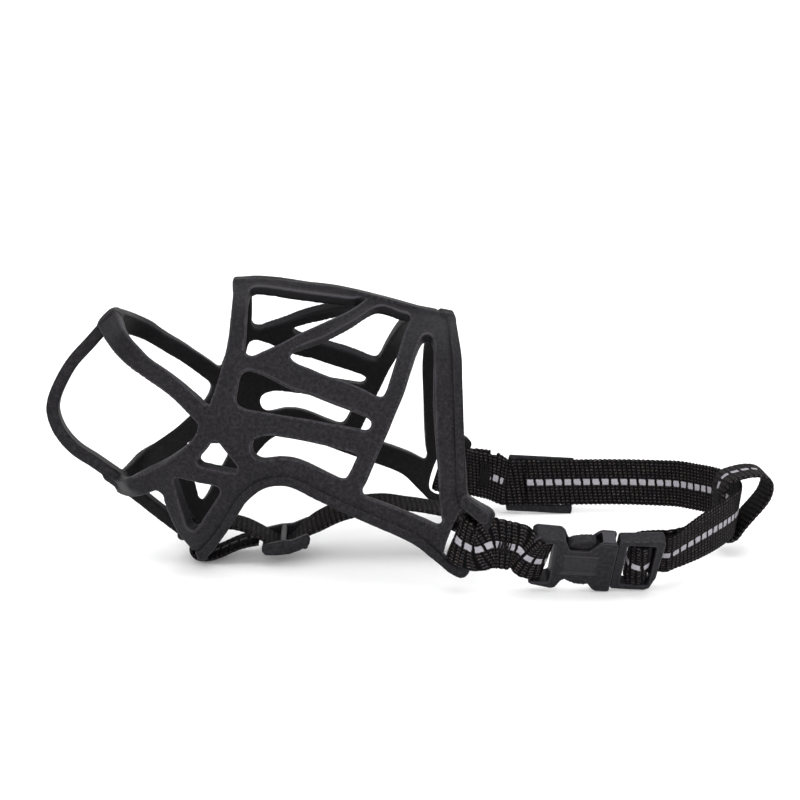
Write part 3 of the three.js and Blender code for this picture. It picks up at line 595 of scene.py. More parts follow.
def cheek_distance(query):
    distance = outline_distance(query, side_outline)
    for hole in opening_outlines + [slot_outline]:
        distance = smooth_max(distance, -outline_distance(query, hole), 0.6)
    return distance


def opening_distance(query):
    return np.min([outline_distance(query, hole) for hole in opening_outlines], 0)


def side_table(function, step=0.4):
    """The function tabled over the basket's whole side view."""
    return Table2D(function, -122.0, 36.0, -6.0, 104.0, step)


def curve_table(points):
    line, _ = smooth_curve(points, step=0.8)
    return side_table(lambda query: line_distance(query, line))


half_width_at = side_table(half_widths_in_chunks, 0.5)
cheek_at = side_table(cheek_distance)
rolled_edge_at = curve_table(
    SIDE_OUTLINE[SIDE_OUTLINE.index(ROLL_START):SIDE_OUTLINE.index(ROLL_END) + 1])
opening_at = side_table(opening_distance)
nose_at = curve_table(NOSE_LOOP)
ridge_at = curve_table(RIDGE)
keel_at = curve_table(KEEL)
# Rods across the basket under the chin: x, z, half length.
CROSS_RODS = ((-66.0, 4.0, half_width(-66, 4) + 0.4), (-72.6, 10.2, 8.8))


def cheek_wall(x, z, out_y):
    """The wall with its rolled edge, groove, lips and ear; out_y is the distance from y = 0."""
    reach = 0.5
    width = half_width_at(x, z)
    slope_x = (half_width_at(x + reach, z) - half_width_at(x - reach, z)) / (2 * reach)
    slope_z = (half_width_at(x, z + reach) - half_width_at(x, z - reach)) / (2 * reach)
    length = np.sqrt(slope_x * slope_x + 1 + slope_z * slope_z)
    off = (out_y - width) / length
    near_off = np.clip(off, -6, 6)
    foot_x, foot_z = x + slope_x / length * near_off, z + slope_z / length * near_off
    edge = rolled_edge_at(foot_x, foot_z)
    opening = opening_at(foot_x, foot_z)
    roll = 1 - smooth_step(edge, 2.7, 3.15)
    groove = np.exp(-((edge - GROOVE_AT) / GROOVE_WIDTH) ** 2)
    lip = (1 - smooth_step(opening, 0.85, 1.2)) * smooth_step(opening, -0.2, 0.25)
    outer = ROLL_OUT * roll - GROOVE_DEPTH * groove * (1 - lip) + LIP_HEIGHT * lip * (1 - roll)
    inner = ROLL_IN * roll
    middle = (outer - inner) / 2
    half = WALL_HALF + (outer + inner) / 2
    wall = slab(cheek_at(foot_x, foot_z), np.abs(off - middle) - half, 0.36 + 0.40 * roll)
    ear_x, ear_z = foot_x - EAR_X, foot_z - EAR_Z
    t = np.clip((ear_x * EAR_RUN_X + ear_z * EAR_RUN_Z) / (EAR_RUN_X ** 2 + EAR_RUN_Z ** 2), 0, 1)
    ear = np.hypot(ear_x - EAR_RUN_X * t, ear_z - EAR_RUN_Z * t) - EAR_RADIUS
    return smooth_min(wall, slab(ear, np.abs(off - EAR_MIDDLE) - EAR_HALF_DEPTH, 0.6), 0.8)


def basket_field(points):
    """Signed distance to the moulded basket."""
    x, y, z = points.T
    out_y = np.abs(y)

    def bar(distance, half_depth, rounding):
        return slab(distance - half_depth, out_y - BAR_HALF_WIDTH, rounding)

    solid = cheek_wall(x, z, out_y)
    solid = smooth_min(solid, bar(nose_at(x, z), 2.0, 0.6), 1.1)
    ridge = np.maximum(bar(ridge_at(x, z), 2.5, 0.55), RIDGE_FRONT - x)
    solid = smooth_min(solid, ridge, 1.0)
    solid = smooth_min(solid, bar(keel_at(x, z), 2.0, 0.55), 1.0)
    for rod_x, rod_z, end in CROSS_RODS:
        square = (x - rod_x) ** 2 + (z - rod_z) ** 2 + np.maximum(out_y - end, 0) ** 2
        solid = smooth_min(solid, np.sqrt(square) - CROSS_ROD_RADIUS, 1.2)
    return solid


def make_basket():
    points, faces = field_mesh(basket_field, (-120, -52, -1), (30, 52, 99), 0.58)
    made = quad_object("basket_moulding", to_frame(points), faces)
    off = np.abs(points[:, 1]) - half_width_at(points[:, 0], points[:, 2])
    # the within attribute marks the inner faces, where the material paints shade
    add_attribute(made, "within", 1 - smooth_step(off, -1.6, -0.9))
    add_edge_attributes(made, basket_field, points, 0.75)
    register(made, "basket", "basket")
    return made


RING_X, RING_Z = -52.85, 54.75
DOTS = ((-64.2, 60.6), (-70.2, 42.0), (-31.0, 63.4))  # x, z
DOT_RADIUS = 0.42


def make_mould_marks():
    """Two raised rings, one in the other, and three dots on the near cheek."""
    def ring(radius, off, thickness, sides, angles):
        path = [on_cheek(RING_X + radius * math.cos(t), RING_Z + radius * math.sin(t), off, NEAR)
                for t in angles]
        return tube(path, thickness, sides, closed=True)

    angles = np.linspace(0, 2 * math.pi, 40, endpoint=False)
    marks = [ring(2.35, 1.74, 0.24, 8, angles), ring(1.0, 1.66, 0.14, 6, angles[::2])]
    heights = np.linspace(-0.98, 0.98, 7)
    for x, z in DOTS:
        path = [on_cheek(x, z, 1.62 + DOT_RADIUS * t, NEAR) for t in heights]
        marks.append(tube(path, np.sqrt(1 - heights ** 2) * DOT_RADIUS, 8))
    points, quads = join(marks)
    made = quad_object("basket_mould_marks", to_frame(points), quads)
    # painted highlight: the marks get a constant edge value, so the material paints them paler all
    # over
    add_attribute(made, "edge", np.full(len(points), 0.22))
    register(made, "basket")
    return made


rubber_pieces = [make_basket(), make_mould_marks()]


# ---------------------------------------------------------------- places of buckle and slider
def placement(place, about_y=0.0, about_x=0.0):
    """A 4 x 4 matrix: turned about x, then about y (degrees), then moved."""
    about_y, about_x = math.radians(about_y), math.radians(about_x)
    cos_y, sin_y, cos_x, sin_x = (math.cos(about_y), math.sin(about_y),
                                  math.cos(about_x), math.sin(about_x))
    turn_y = np.array([[cos_y, 0, sin_y], [0, 1, 0], [-sin_y, 0, cos_y]])
    turn_x = np.array([[1, 0, 0], [0, cos_x, -sin_x], [0, sin_x, cos_x]])
    matrix = np.eye(4)
    matrix[:3, :3] = turn_y @ turn_x
    matrix[:3, 3] = place
    return matrix


BUCKLE = placement((65.4, -45.5, 11.2), 4, 28.7)
SLIDER = placement((0, 49.5, 11.4), 0.0, -12)
SLIDER_CENTRE = 53.6  # x
# The slider hangs a little nose up on the strap.
SLIDER_TIPPED = (SLIDER @ placement((SLIDER_CENTRE, 0, 0)) @ placement((0, 0, -0.75), 3.5)
                 @ placement((-SLIDER_CENTRE, 0, 0)))

# ---------------------------------------------------------------- webbing
WEB_WIDTH, WEB_THICK = 16.5, 1.4
DASH_PITCH = 3.45
RIB_PITCH = DASH_PITCH / 2


# A station is a point on the strap's middle line and the direction of its width.
def station(place, width):
    return np.array(place, float), np.array(width, float)


def in_frame(matrix, x, y, z=0.0, turn=0.0):
    """A station in the buckle's or slider's frame, its width turned in that frame's xz plane."""
    turn = math.radians(turn)
    return station((matrix @ np.array([x, y, z, 1.0]))[:3],
                   math.cos(turn) * matrix[:3, 2] + math.sin(turn) * matrix[:3, 0])


def frame_stations(matrix, rows):
    """Rows of x, y and, where given, z and turn."""
    return [in_frame(matrix, *row) for row in rows]


def lean(side, degrees):
    angle = math.radians(degrees)
    return [0.12, side * math.sin(angle), math.cos(angle)]


def leaning(side, *rows):
    """Rows of x, y, z and the width's lean in degrees."""
    return [station(row[:3], lean(side, row[3])) for row in rows]


# Where the webbing turns through the strap slot: x, z, distance off the cheek.
SLOT_TURN = [
  (24.2, 17.9, -3.4), (20.8, 18.9, -3.3), (18.8, 19.5, -2.7), (17.7, 19.9, -1.4), (17.4, 20.0, 0),
  (17.7, 19.9, 1.4), (18.8, 19.5, 2.7), (20.8, 18.9, 3.3), (24.2, 17.9, 3.6),
]
SLOT_TURN_SHIFT_X, SLOT_TURN_SHIFT_Z = 1.3, 0.8


def slot_turn(side):
    width = on_cheek(20.2, 26.8, 0, side) - on_cheek(15.2, 12.6, 0, side)
    return [station(on_cheek(x - SLOT_TURN_SHIFT_X, z - SLOT_TURN_SHIFT_Z, off, side), width)
            for x, z, off in SLOT_TURN]


NEAR_TAB = (
    leaning(NEAR, (32.6, -44.2, 16.0, 12), (28.4, -43.0, 16.6, 8))
    + slot_turn(NEAR)
    + leaning(NEAR, (27.2, -47.9, 17.8, 4), (31.4, -48.6, 17.4, 8), (35.0, -48.7, 16.5, 12))
    + frame_stations(BUCKLE, [
        (-27.4, -2.9, 2.2, 4), (-24.2, -2.4, 0.6, 6), (-21.8, -1.2, 0, 7), (-21.4, 0.4, 0, 7),
        (-22.6, 2.0, 0, 6), (-25, 2.6, 0.2, 4), (-29, 2.0, 1.0, 0)])
    + leaning(NEAR, (33.5, -45.4, 15.6, 14)))
FAR_LOOP = (
    leaning(FAR, (34.6, 50.9, 15.0, 20), (28.6, 48.3, 16.4, 27))
    + slot_turn(FAR)[::-1]
    + leaning(FAR, (28.4, 43.5, 16.6, 27), (35.0, 46.4, 14.4, 20))
    + frame_stations(SLIDER, [
        (41.0, -0.1), (44.2, 0), (46.2, 0.2), (47.6, 1.0), (48.1, 2.4), (47.4, 3.9), (45.4, 4.7),
        (41.5, 4.8)])
    + leaning(FAR, (35.4, 51.1, 14.7, 19)))
# Round the back of the neck: x, y, z, outward lean in degrees.
NECK_RUN = [
  (88.5, -38.9, 13.3, 18), (95.4, -33.4, 15.0, 9), (101.7, -26.6, 15.9, 5),
  (107.1, -19.5, 16.3, 5), (111.4, -12.0, 16.4, 6), (114.0, -3.0, 16.2, 8), (114.6, 6.0, 16.0, 8),
  (113.4, 15.0, 15.5, 9), (110.8, 23.5, 14.9, 8), (106.8, 31.0, 14.1, 8), (101.8, 38.0, 13.4, 10),
  (95.4, 43.4, 12.4, 16), (86.3, 47.6, 11.7, 13), (78.0, 49.2, 11.45, 12),
]


def neck_run():
    stations = []
    for i, (x, y, z, degrees) in enumerate(NECK_RUN):
        before, after = NECK_RUN[max(i - 1, 0)], NECK_RUN[min(i + 1, len(NECK_RUN) - 1)]
        dx, dy = after[0] - before[0], after[1] - before[1]
        length = math.hypot(dx, dy)
        sine = math.sin(math.radians(degrees))
        width = (dy / length * sine, -dx / length * sine, math.cos(math.radians(degrees)))
        stations.append(station((x, y, z), width))
    return stations


NECK = (
    [station((93.7, -31.7, 13.9), (0.33, -0.33, 0.88)),
     station((87.5, -36.5, 12.9), (0.22, -0.42, 0.88))]
    + frame_stations(BUCKLE, [
        (17.5, 6.6), (14, 6.2), (11, 5.8), (7.4, 5.0), (5.3, 3.3), (5.0, 1.0), (5.9, -1.3),
        (8.2, -2.35), (10.4, -1.2), (11.3, 0.8), (11.7, 2.6), (12.9, 3.8), (15, 4.0), (18, 4.0)])
    + neck_run()
    + frame_stations(SLIDER, [(66.2, 0), (48.3, 0)]))
# Middle lines of the straps that run in an xz plane: (x, z).
COLLAR = [
  (108.1, 18.2), (108.1, 22.0), (109.8, 25.9), (113.8, 27.6), (118.7, 28.4), (122.1, 27.8),
  (124.1, 25.8), (124.3, 23.2), (123.2, 19.9), (121.0, 16.8), (118.2, 13.5), (115.3, 9.9),
  (112.8, 6.6), (110.2, 5.7), (108.4, 6.8), (108.0, 11.5), (108.1, 16.6),
]
COLLAR_Y = -1.5
CHIN = [
  (-47.6, 6.3), (-52.5, 5.4), (-56.5, 3.9), (-61.0, 1.9), (-65.4, 1.0), (-68.4, 1.7), (-70.0, 3.9),
  (-69.6, 6.4), (-66.8, 8.8), (-62.0, 11.0), (-57.0, 12.0), (-52.4, 11.0), (-48.4, 9.1),
  (-45.3, 7.3), (-42.2, 5.4), (-39.2, 4.7), (-36.6, 5.4), (-34.2, 7.3), (-31.8, 9.4),
  (-27.0, 12.2), (-18.6, 16.0), (-6.1, 18.0), (3.4, 17.6), (13.5, 15.8), (22.0, 13.8),
  (28.6, 12.4), (31.2, 10.2), (29.2, 8.0), (24.6, 7.9), (20.0, 9.4), (15.5, 11.8),
]


def chin_lean(x):
    """Sideways tilt of the chin strap between the slider and the neck opening."""
    rise = float(smooth_step(x, -36.0, -26.0))
    return 0.17 * rise * (1 - float(smooth_step(x, -12.0, 4.0)))


def weave(along, across, face, skew, phase, dash_allowed):
    """Height of the cross ribs, and where the pale dashes show, on one face."""
    slant = skew * face * across
    jitter = (0.10 * np.sin(along * 1.31 + 2.0 * np.sin(across * 0.7))
              + 0.06 * np.sin(along * 3.7 + across * 1.9))
    turn = (along + slant + jitter * 0.3) / RIB_PITCH + phase
    turn = turn - np.floor(turn) - 0.5
    rib = np.cos(math.pi * turn) ** 0.6
    wave = across / 1.12 + 0.85 * np.abs(turn) + 0.06 * np.sin(along * 2.1)
    lobe = 0.5 + 0.5 * np.cos(2 * math.pi * wave)
    crease = 1 - 0.35 * np.exp(-(turn / 0.09) ** 2)
    height = rib * (0.45 + 0.55 * lobe) * crease
    beat = (along + slant) / DASH_PITCH + phase / 2
    beat = beat - np.floor(beat)
    dash = np.minimum(smooth_step(beat, 0.10, 0.16), 1 - smooth_step(beat, 0.80, 0.86))
    dash = dash * (1 - smooth_step(np.abs(across), 0.95, 1.2)) * dash_allowed
    return height * (1 - dash) + dash * (0.95 + 0.12 * np.cos(across * 5.5)), dash


def strap_line(stations, spacing):
    """Even steps along the strap: distance, middle, width direction and face normal."""
    curve, _ = smooth_curve([place for place, _ in stations], per_span=48)
    widths, _ = smooth_curve([w / np.linalg.norm(w) for _, w in stations], per_span=48)
    run = np.concatenate([[0], np.cumsum(np.linalg.norm(np.diff(curve, axis=0), axis=1))])
    distance = np.linspace(0, run[-1], int(run[-1] / spacing) + 1)

    def evenly(values):
        return np.stack([np.interp(distance, run, values[:, k]) for k in range(3)], 1)

    middle, width = evenly(curve), evenly(widths)
    tangent = np.gradient(middle, axis=0)
    tangent /= np.linalg.norm(tangent, axis=1)[:, None]
    width -= (width * tangent).sum(1)[:, None] * tangent
    width /= np.linalg.norm(width, axis=1)[:, None]
    return distance, middle, width, np.cross(tangent, width)


def strap_quads(rows, columns):
    """Quads round the strap and across its ends, but for the narrow cell at each border."""
    around = 2 * columns - 2
    row, column = np.meshgrid(np.arange(rows - 1), np.arange(around), indexing="ij")
    here = row * around + column
    beside = row * around + (column + 1) % around
    quads = np.stack([here, beside, beside + around, here + around], -1).reshape(-1, 4)
    caps = []
    for base, turn in ((0, 1), ((rows - 1) * around, -1)):
        for j in range(1, columns - 2):
            cap = (base + j, base + j + 1, base + around - j - 1, base + around - j)
            caps.append(cap[::turn])
    return np.vstack([quads, np.array(caps)])


def close_holes(mesh):
    work = bmesh.new()
    work.from_mesh(mesh)
    borders = [edge for edge in work.edges if edge.is_boundary]
    bmesh.ops.holes_fill(work, edges=borders, sides=0)
    bmesh.ops.recalc_face_normals(work, faces=work.faces)
    work.to_mesh(mesh)
    work.free()
    shade_smooth(mesh)


def webbing(name, stations, body, node, dash_spans=((-math.inf, math.inf),), spacing=0.30,
            cross_spacing=0.30, phase=0.0, relief_height=0.17, skew=0.14):
    """Woven strap: lobed cross ribs, scalloped edges, a raised row of pale dashes.

    dash_spans are the stretches along the strap, in mm, that carry dashes.
    """
    distance, middle, width, normal = strap_line(stations, spacing)
    columns = int(WEB_WIDTH / cross_spacing) | 1
    offset = np.linspace(-1, 1, columns)
    offset = np.sign(offset) * (1 - (1 - np.abs(offset)) ** 1.15)  # closer together at the edges
    offset = offset * WEB_WIDTH / 2
    along, across = np.meshgrid(distance, offset, indexing="ij")
    allowed = np.any([(low < distance) & (distance < high) for low, high in dash_spans], 0)
    sides = np.abs(offset) / (WEB_WIDTH / 2)
    profile = (1 - sides ** 14) ** 0.5
    scallop = 0.30 * (np.abs(np.cos(math.pi * (distance / RIB_PITCH + phase))) - 0.5)
    reach = across + np.sign(across) * (sides ** 8)[None, :] * scallop[:, None]
    sheet = middle[:, None] + width[:, None] * reach[..., None]
    half = WEB_THICK / 2 - 0.10
    surfaces, reliefs, dashes = [], [], []
    for face in (1, -1):
        relief, dash = weave(along, across, face, skew, phase, allowed[:, None])
        lift = half * profile[None, :] + relief_height * (relief - 0.45) * profile[None, :]
        surfaces.append(sheet + normal[:, None] * (face * lift)[..., None])
        reliefs.append(relief)
        dashes.append(dash)

    def wrap(top, bottom):
        return np.concatenate([top, bottom[:, 1:-1][:, ::-1]], 1)

    quads = strap_quads(len(distance), columns)
    made = quad_object(name, to_frame(wrap(*surfaces).reshape(-1, 3)), quads)
    close_holes(made.data)
    add_attribute(made, "relief", wrap(*reliefs).reshape(-1))
    add_attribute(made, "dash", wrap(*dashes).reshape(-1))
    register(made, body, node)
    return made


straps = [
    webbing("near_tab_strap", NEAR_TAB, "near_strap", "near_tab_webbing",
            spacing=0.26, cross_spacing=0.27, phase=0.25),
    webbing("far_loop_strap", FAR_LOOP, "far_strap", "far_loop_webbing",
            dash_spans=((10, 29), (44, 50))),
    webbing("neck_strap", NECK, "neck_strap", "neck_strap_webbing",
            spacing=0.33, cross_spacing=0.31),
    webbing("collar_loop", [station((x, COLLAR_Y, z), (0, 1, 0)) for x, z in COLLAR],
            "neck_strap", "collar_loop_webbing", dash_spans=((3, 19.5),)),
    webbing("chin_strap", [station((x, 0.0, z), (0, 1, chin_lean(x))) for x, z in CHIN],
            "chin_strap", "chin_strap_webbing", dash_spans=((-math.inf, 20),),
            spacing=0.34, cross_spacing=0.31, relief_height=0.2, skew=0.03),
]

# ---------------------------------------------------------------- bar tacks
TACK_ROWS, STROKE_POINTS = 9, 14
THREAD_RADIUS, THREAD_LIFT = 0.24, 0.16


def bar_tack(stem, body, centre, along, up, out, length, height):
    """A zigzag of thread on the face of a strap."""
    along, up, out = (np.array(v, float) / np.linalg.norm(v) for v in (along, up, out))

    def corner(k):
        return (np.array(centre) + along * (k / TACK_ROWS - 0.5) * length
                + up * (0.5 if k % 2 else -0.5) * height)

    path = []
    for k in range(TACK_ROWS + 1):
        start, end = corner(k), corner(k + 1)
        for t in np.linspace(0, 1, STROKE_POINTS, endpoint=False):
            lift = WEB_THICK / 2 + THREAD_LIFT + 0.10 * math.sin(t * math.pi * 8)
            path.append(start + (end - start) * t + out * lift)
    # the last stroke keeps only its first point
    points, quads = tube(path[:1 - STROKE_POINTS], THREAD_RADIUS, 6)
    made = quad_object(f"{stem}_bar_tack", to_frame(points), quads)
    register(made, body, f"{stem}_stitching")
    return made


# stem, body, centre, along, up, out, length, height
TACKS = [
    ("near_tab", "near_strap", [30.2, -48.1, 16.0],
     [1, -0.06, -0.35], lean(NEAR, 30), [-0.02, -0.87, -0.47], 4, 9),
    ("far_loop", "far_strap", [32.0, 44.9, 15.4],
     [1, 0.42, -0.33], lean(FAR, 24), [0.33, -0.87, 0.35], 4, 9),
    ("neck_strap", "neck_strap", [90.8, -34.2, 13.4],
     [0.79, 0.61, 0.13], [0.28, -0.38, 0.88], [-0.55, 0.72, 0.44], 5, 9),
    ("chin_strap", "chin_strap", [-50.0, 0, 5.9], [1, 0, 0.22], [0, 1, 0], [0.22, 0, -1], 5, 12),
    ("chin_end", "chin_strap", [20.6, 0, 14.2], [1, 0, -0.2], [0, 1, 0], [0.2, 0, 1], 5, 12),
    ("collar_loop", "neck_strap", [108.05, -1.5, 19.8], [0, 0, 1], [0, 1, 0], [-1, 0, 0], 5, 12),
]
tacks = [bar_tack(*row) for row in TACKS]

# ---------------------------------------------------------------- buckle and sliders
# Outlines in (x, z) of the piece's own frame. Boxes are low corner, high corner, rounding.
SOCKET = [
  (-26.5, -8.6), (-25.2, -9.7), (-18.8, -11.0), (-17.4, -10.6), (-15.9, -7.4), (-14.6, -6.4),
  (-8.6, -6.4), (-5.8, -10.2), (-4.6, -11.2), (0, -11.3), (0, 10.0), (-4.6, 10.1), (-5.8, 9.4),
  (-8.8, 6.0), (-14.8, 6.0), (-16.2, 9.4), (-17.6, 10.8), (-25.4, 11.2), (-26.5, 10.2),
]
SOCKET_HALF_DEPTH = 3.2
SOCKET_WINDOW = (-28.5, -9, -8.7), (-19.6, 9, 8.7), 1.2  # for the webbing, open at the end
SOCKET_BAR = (-25.9, -1.0, -9.5), (-23.0, 1.4, 9.5), 0.9  # the webbing turns round it
SOCKET_POCKET = (-16.4, -2.3, -9.75), (3, 2.3, 9.75), 0.5  # for the prongs
SOCKET_TONGUE = (-16.5, -2.5, -1.6), (-9.2, 2.5, 1.6), 0.3
# Sunk panel on each face: x from, x to, z centre, half height in z.
PANEL_FROM, PANEL_TO, PANEL_Z, PANEL_HALF = 16.8, 5.4, 0.1, 3.6  # all but the last negated
PANEL_DEPTH, PANEL_GROOVE = 0.20, 0.40

PLUG = [
  (0.3, -10.75), (11.4, -10.6), (12.8, -9.7), (14.2, -5.0), (14.8, 10.6), (14.0, 11.5), (0.3, 10.3),
]
PLUG_HALF_DEPTH = 2.2
PLUG_WINDOW = (3.2, -6, -8.7), (12.3, 6, 8.7), 0.9
PLUG_BAR_X, PLUG_BAR_RADIUS, PLUG_BAR_HALF = 8.2, 1.2, 9.2
PLUG_TONGUE = (-8.6, -1.8, -1.5), (0.8, 1.8, 1.5), 0.4

PRONG_INNER = [(-15.5, 6.3), (-12, 5.0), (-8, 4.8)]
PRONG_ROOT_X, PRONG_ROOT_Z = -1.0, 5.6  # centre of the rounded root, radius 1
PRONG_OUTER = [
  (-5.0, 6.8), (-6.3, 7.6), (-6.8, 9.0), (-8.2, 9.4), (-11, 9.2), (-13.8, 8.5), (-15.4, 7.3),
]
PRONG_HALF_DEPTH = 1.9
GRIP_PITCH, GRIP_DEPTH = 1.5, 0.10

NECK_SLIDER_Y = 1.2, 3.4
# Two rails and three cross bars: x from, x to, z from, z to, rounding.
NECK_SLIDER_BOXES = [
  (41.6, 65.6, -10.3, -7.2, 0.6), (41.6, 65.6, 8.3, 10.3, 0.7), (41.6, 44.4, -9.4, 9.4, 0.7),
  (51.9, 55.4, -9.4, 9.4, 0.7), (62.6, 65.6, -9.4, 9.4, 0.7),
]

CHIN_RAIL = [
  (-46.6, 6.6), (-46.1, 4.6), (-45.3, 3.4), (-41.7, 3.3), (-37.4, 3.7), (-33.7, 5.0),
  (-30.6, 6.9), (-30.2, 8.8), (-31.0, 10.6), (-33.6, 9.5), (-36.3, 8.4), (-40.3, 8.1),
  (-43.6, 7.4),
]
CHIN_RAIL_Y, CHIN_RAIL_HALF = 10.15, 1.15
CHIN_BARS = ((-45.3, 4.8), (-39.2, 7.2), (-32.1, 6.2))  # x, z
CHIN_BAR_RADIUS, CHIN_BAR_HALF = 1.1, 10.0


def filleted_table(points, radius, step=0.15, margin=4.0):
    outline = fillet(points, radius)
    low, high = outline.min(0) - margin, outline.max(0) + margin
    return Table2D(lambda query: outline_distance(query, outline),
                   low[0], high[0], low[1], high[1], step)


socket_at = filleted_table(SOCKET, 1.2)
plug_at = filleted_table(PLUG, 1.0)
chin_rail_at = filleted_table(CHIN_RAIL, 0.9)


def socket_field(points):
    x, y, z = points.T
    out_y = np.abs(y)
    solid = slab(socket_at(x, z), out_y - SOCKET_HALF_DEPTH, 0.22)
    solid = smooth_max(solid, -box_distance(points, *SOCKET_WINDOW), 0.4)
    solid = smooth_min(solid, box_distance(points, *SOCKET_BAR), 0.5)
    solid = np.maximum(solid, -box_distance(points, *SOCKET_POCKET))
    solid = smooth_min(solid, box_distance(points, *SOCKET_TONGUE), 0.3)
    past_x = np.maximum(-PANEL_FROM - x, x + PANEL_TO)
    past_z = np.abs(z + PANEL_Z) - PANEL_HALF
    on_panel = 1 - smooth_step(np.maximum(past_x, past_z), -0.3, 0.15)
    solid = solid + PANEL_DEPTH * on_panel * smooth_step(out_y, 2.5, 3.0)
    # a groove along the panel's two long sides; its distance is capped well clear of it
    groove = np.minimum(np.hypot(past_z, np.maximum(past_x, 0)), 9)
    cut = -np.hypot(groove, out_y - SOCKET_HALF_DEPTH) + PANEL_GROOVE
    return smooth_max(solid, cut, 0.12)


def plug_field(points):
    x, y, z = points.T
    solid = slab(plug_at(x, z), np.abs(y) - PLUG_HALF_DEPTH, 0.22)
    solid = smooth_max(solid, -box_distance(points, *PLUG_WINDOW), 0.5)
    round_bar = np.hypot(x - PLUG_BAR_X, y) - PLUG_BAR_RADIUS
    past_end = np.maximum(np.abs(z) - PLUG_BAR_HALF, 0)
    bar = np.hypot(np.maximum(round_bar, 0), past_end) + np.minimum(round_bar, 0)
    solid = smooth_min(solid, bar, 0.5)
    return smooth_min(solid, box_distance(points, *PLUG_TONGUE), 0.3)


def prong_outline(sign):
    """The upper prong (+1), or the lower (-1), whose thumb face reaches 0.8 further out."""
    turns = [-math.pi / 2 + math.pi * k / 6 for k in range(7)]
    root = [(PRONG_ROOT_X + math.cos(turn), PRONG_ROOT_Z + math.sin(turn)) for turn in turns]
    upper = PRONG_INNER + root + PRONG_OUTER
    if sign > 0:
        return upper
    return [(x, -z - 0.8 * float(smooth_step(z, 8.0, 9.2))) for x, z in upper][::-1]


def prong_field(sign):
    prong_at = filleted_table(prong_outline(sign), 0.5)

    def field(points):
        x, y, z = points.T
        solid = slab(prong_at(x, z), np.abs(y) - PRONG_HALF_DEPTH, 0.55)
        # grip ridges across the thumb face
        wave = GRIP_DEPTH * (0.5 + 0.5 * np.cos(x * 2 * math.pi / GRIP_PITCH))
        return solid + wave * smooth_step(z * sign, 7.8, 8.6)
    return field


def neck_slider_field(points):
    y_low, y_high = NECK_SLIDER_Y
    boxes = [box_distance(points, (x_low, y_low, z_low), (x_high, y_high, z_high), rounding)
             for x_low, x_high, z_low, z_high, rounding in NECK_SLIDER_BOXES]
    solid = boxes[0]
    for box in boxes[1:]:
        solid = smooth_min(solid, box, 0.7)
    return solid


def chin_slider_field(points):
    x, y, z = points.T
    out_y = np.abs(y)
    solid = slab(chin_rail_at(x, z), np.abs(out_y - CHIN_RAIL_Y) - CHIN_RAIL_HALF, 0.55)
    for bar_x, bar_z in CHIN_BARS:
        bar = np.hypot(x - bar_x, z - bar_z) - CHIN_BAR_RADIUS
        solid = smooth_min(solid, np.maximum(bar, out_y - CHIN_BAR_HALF), 0.5)
    return solid


def hard_piece(name, field, low, high, step, matrix, body, node):
    points, faces = field_mesh(field, low, high, step)
    placed = points @ matrix[:3, :3].T + matrix[:3, 3]
    made = quad_object(name, to_frame(placed), faces)
    add_edge_attributes(made, field, points, 0.36)
    register(made, body, node)
    return made


# name, field, low corner, high corner, grid step, placement, body, node
HARD_PIECES = [
    ("socket_shell", socket_field, (-28, -5, -12.5), (1, 5, 12.5), 0.24,
     BUCKLE, "near_strap", "buckle_socket"),
    ("plug_shell", plug_field, (-10, -4, -12), (17, 4, 12), 0.24,
     BUCKLE, "neck_strap", "buckle_plug"),
    ("prong_upper", prong_field(1), (-17, -3, 3), (1.5, 3, 11), 0.22,
     BUCKLE, "prong_upper", "buckle_prong_upper"),
    ("prong_lower", prong_field(-1), (-17, -3, -11), (1.5, 3, -3), 0.22,
     BUCKLE, "prong_lower", "buckle_prong_lower"),
    ("neck_tri_glide", neck_slider_field, (41, 0, -12), (67, 4.5, 12), 0.26,
     SLIDER_TIPPED, "far_strap", "neck_slider"),
    ("chin_tri_glide", chin_slider_field, (-48, -13, 1), (-29, 13, 10), 0.26,
     np.eye(4), "chin_strap", "chin_slider"),
]
hard_pieces = [hard_piece(*row) for row in HARD_PIECES]

# ---------------------------------------------------------------- materials
MIX_FACTOR, MIX_A, MIX_B, MIX_COLOUR = 0, 6, 7, 2  # colour sockets of the Mix node


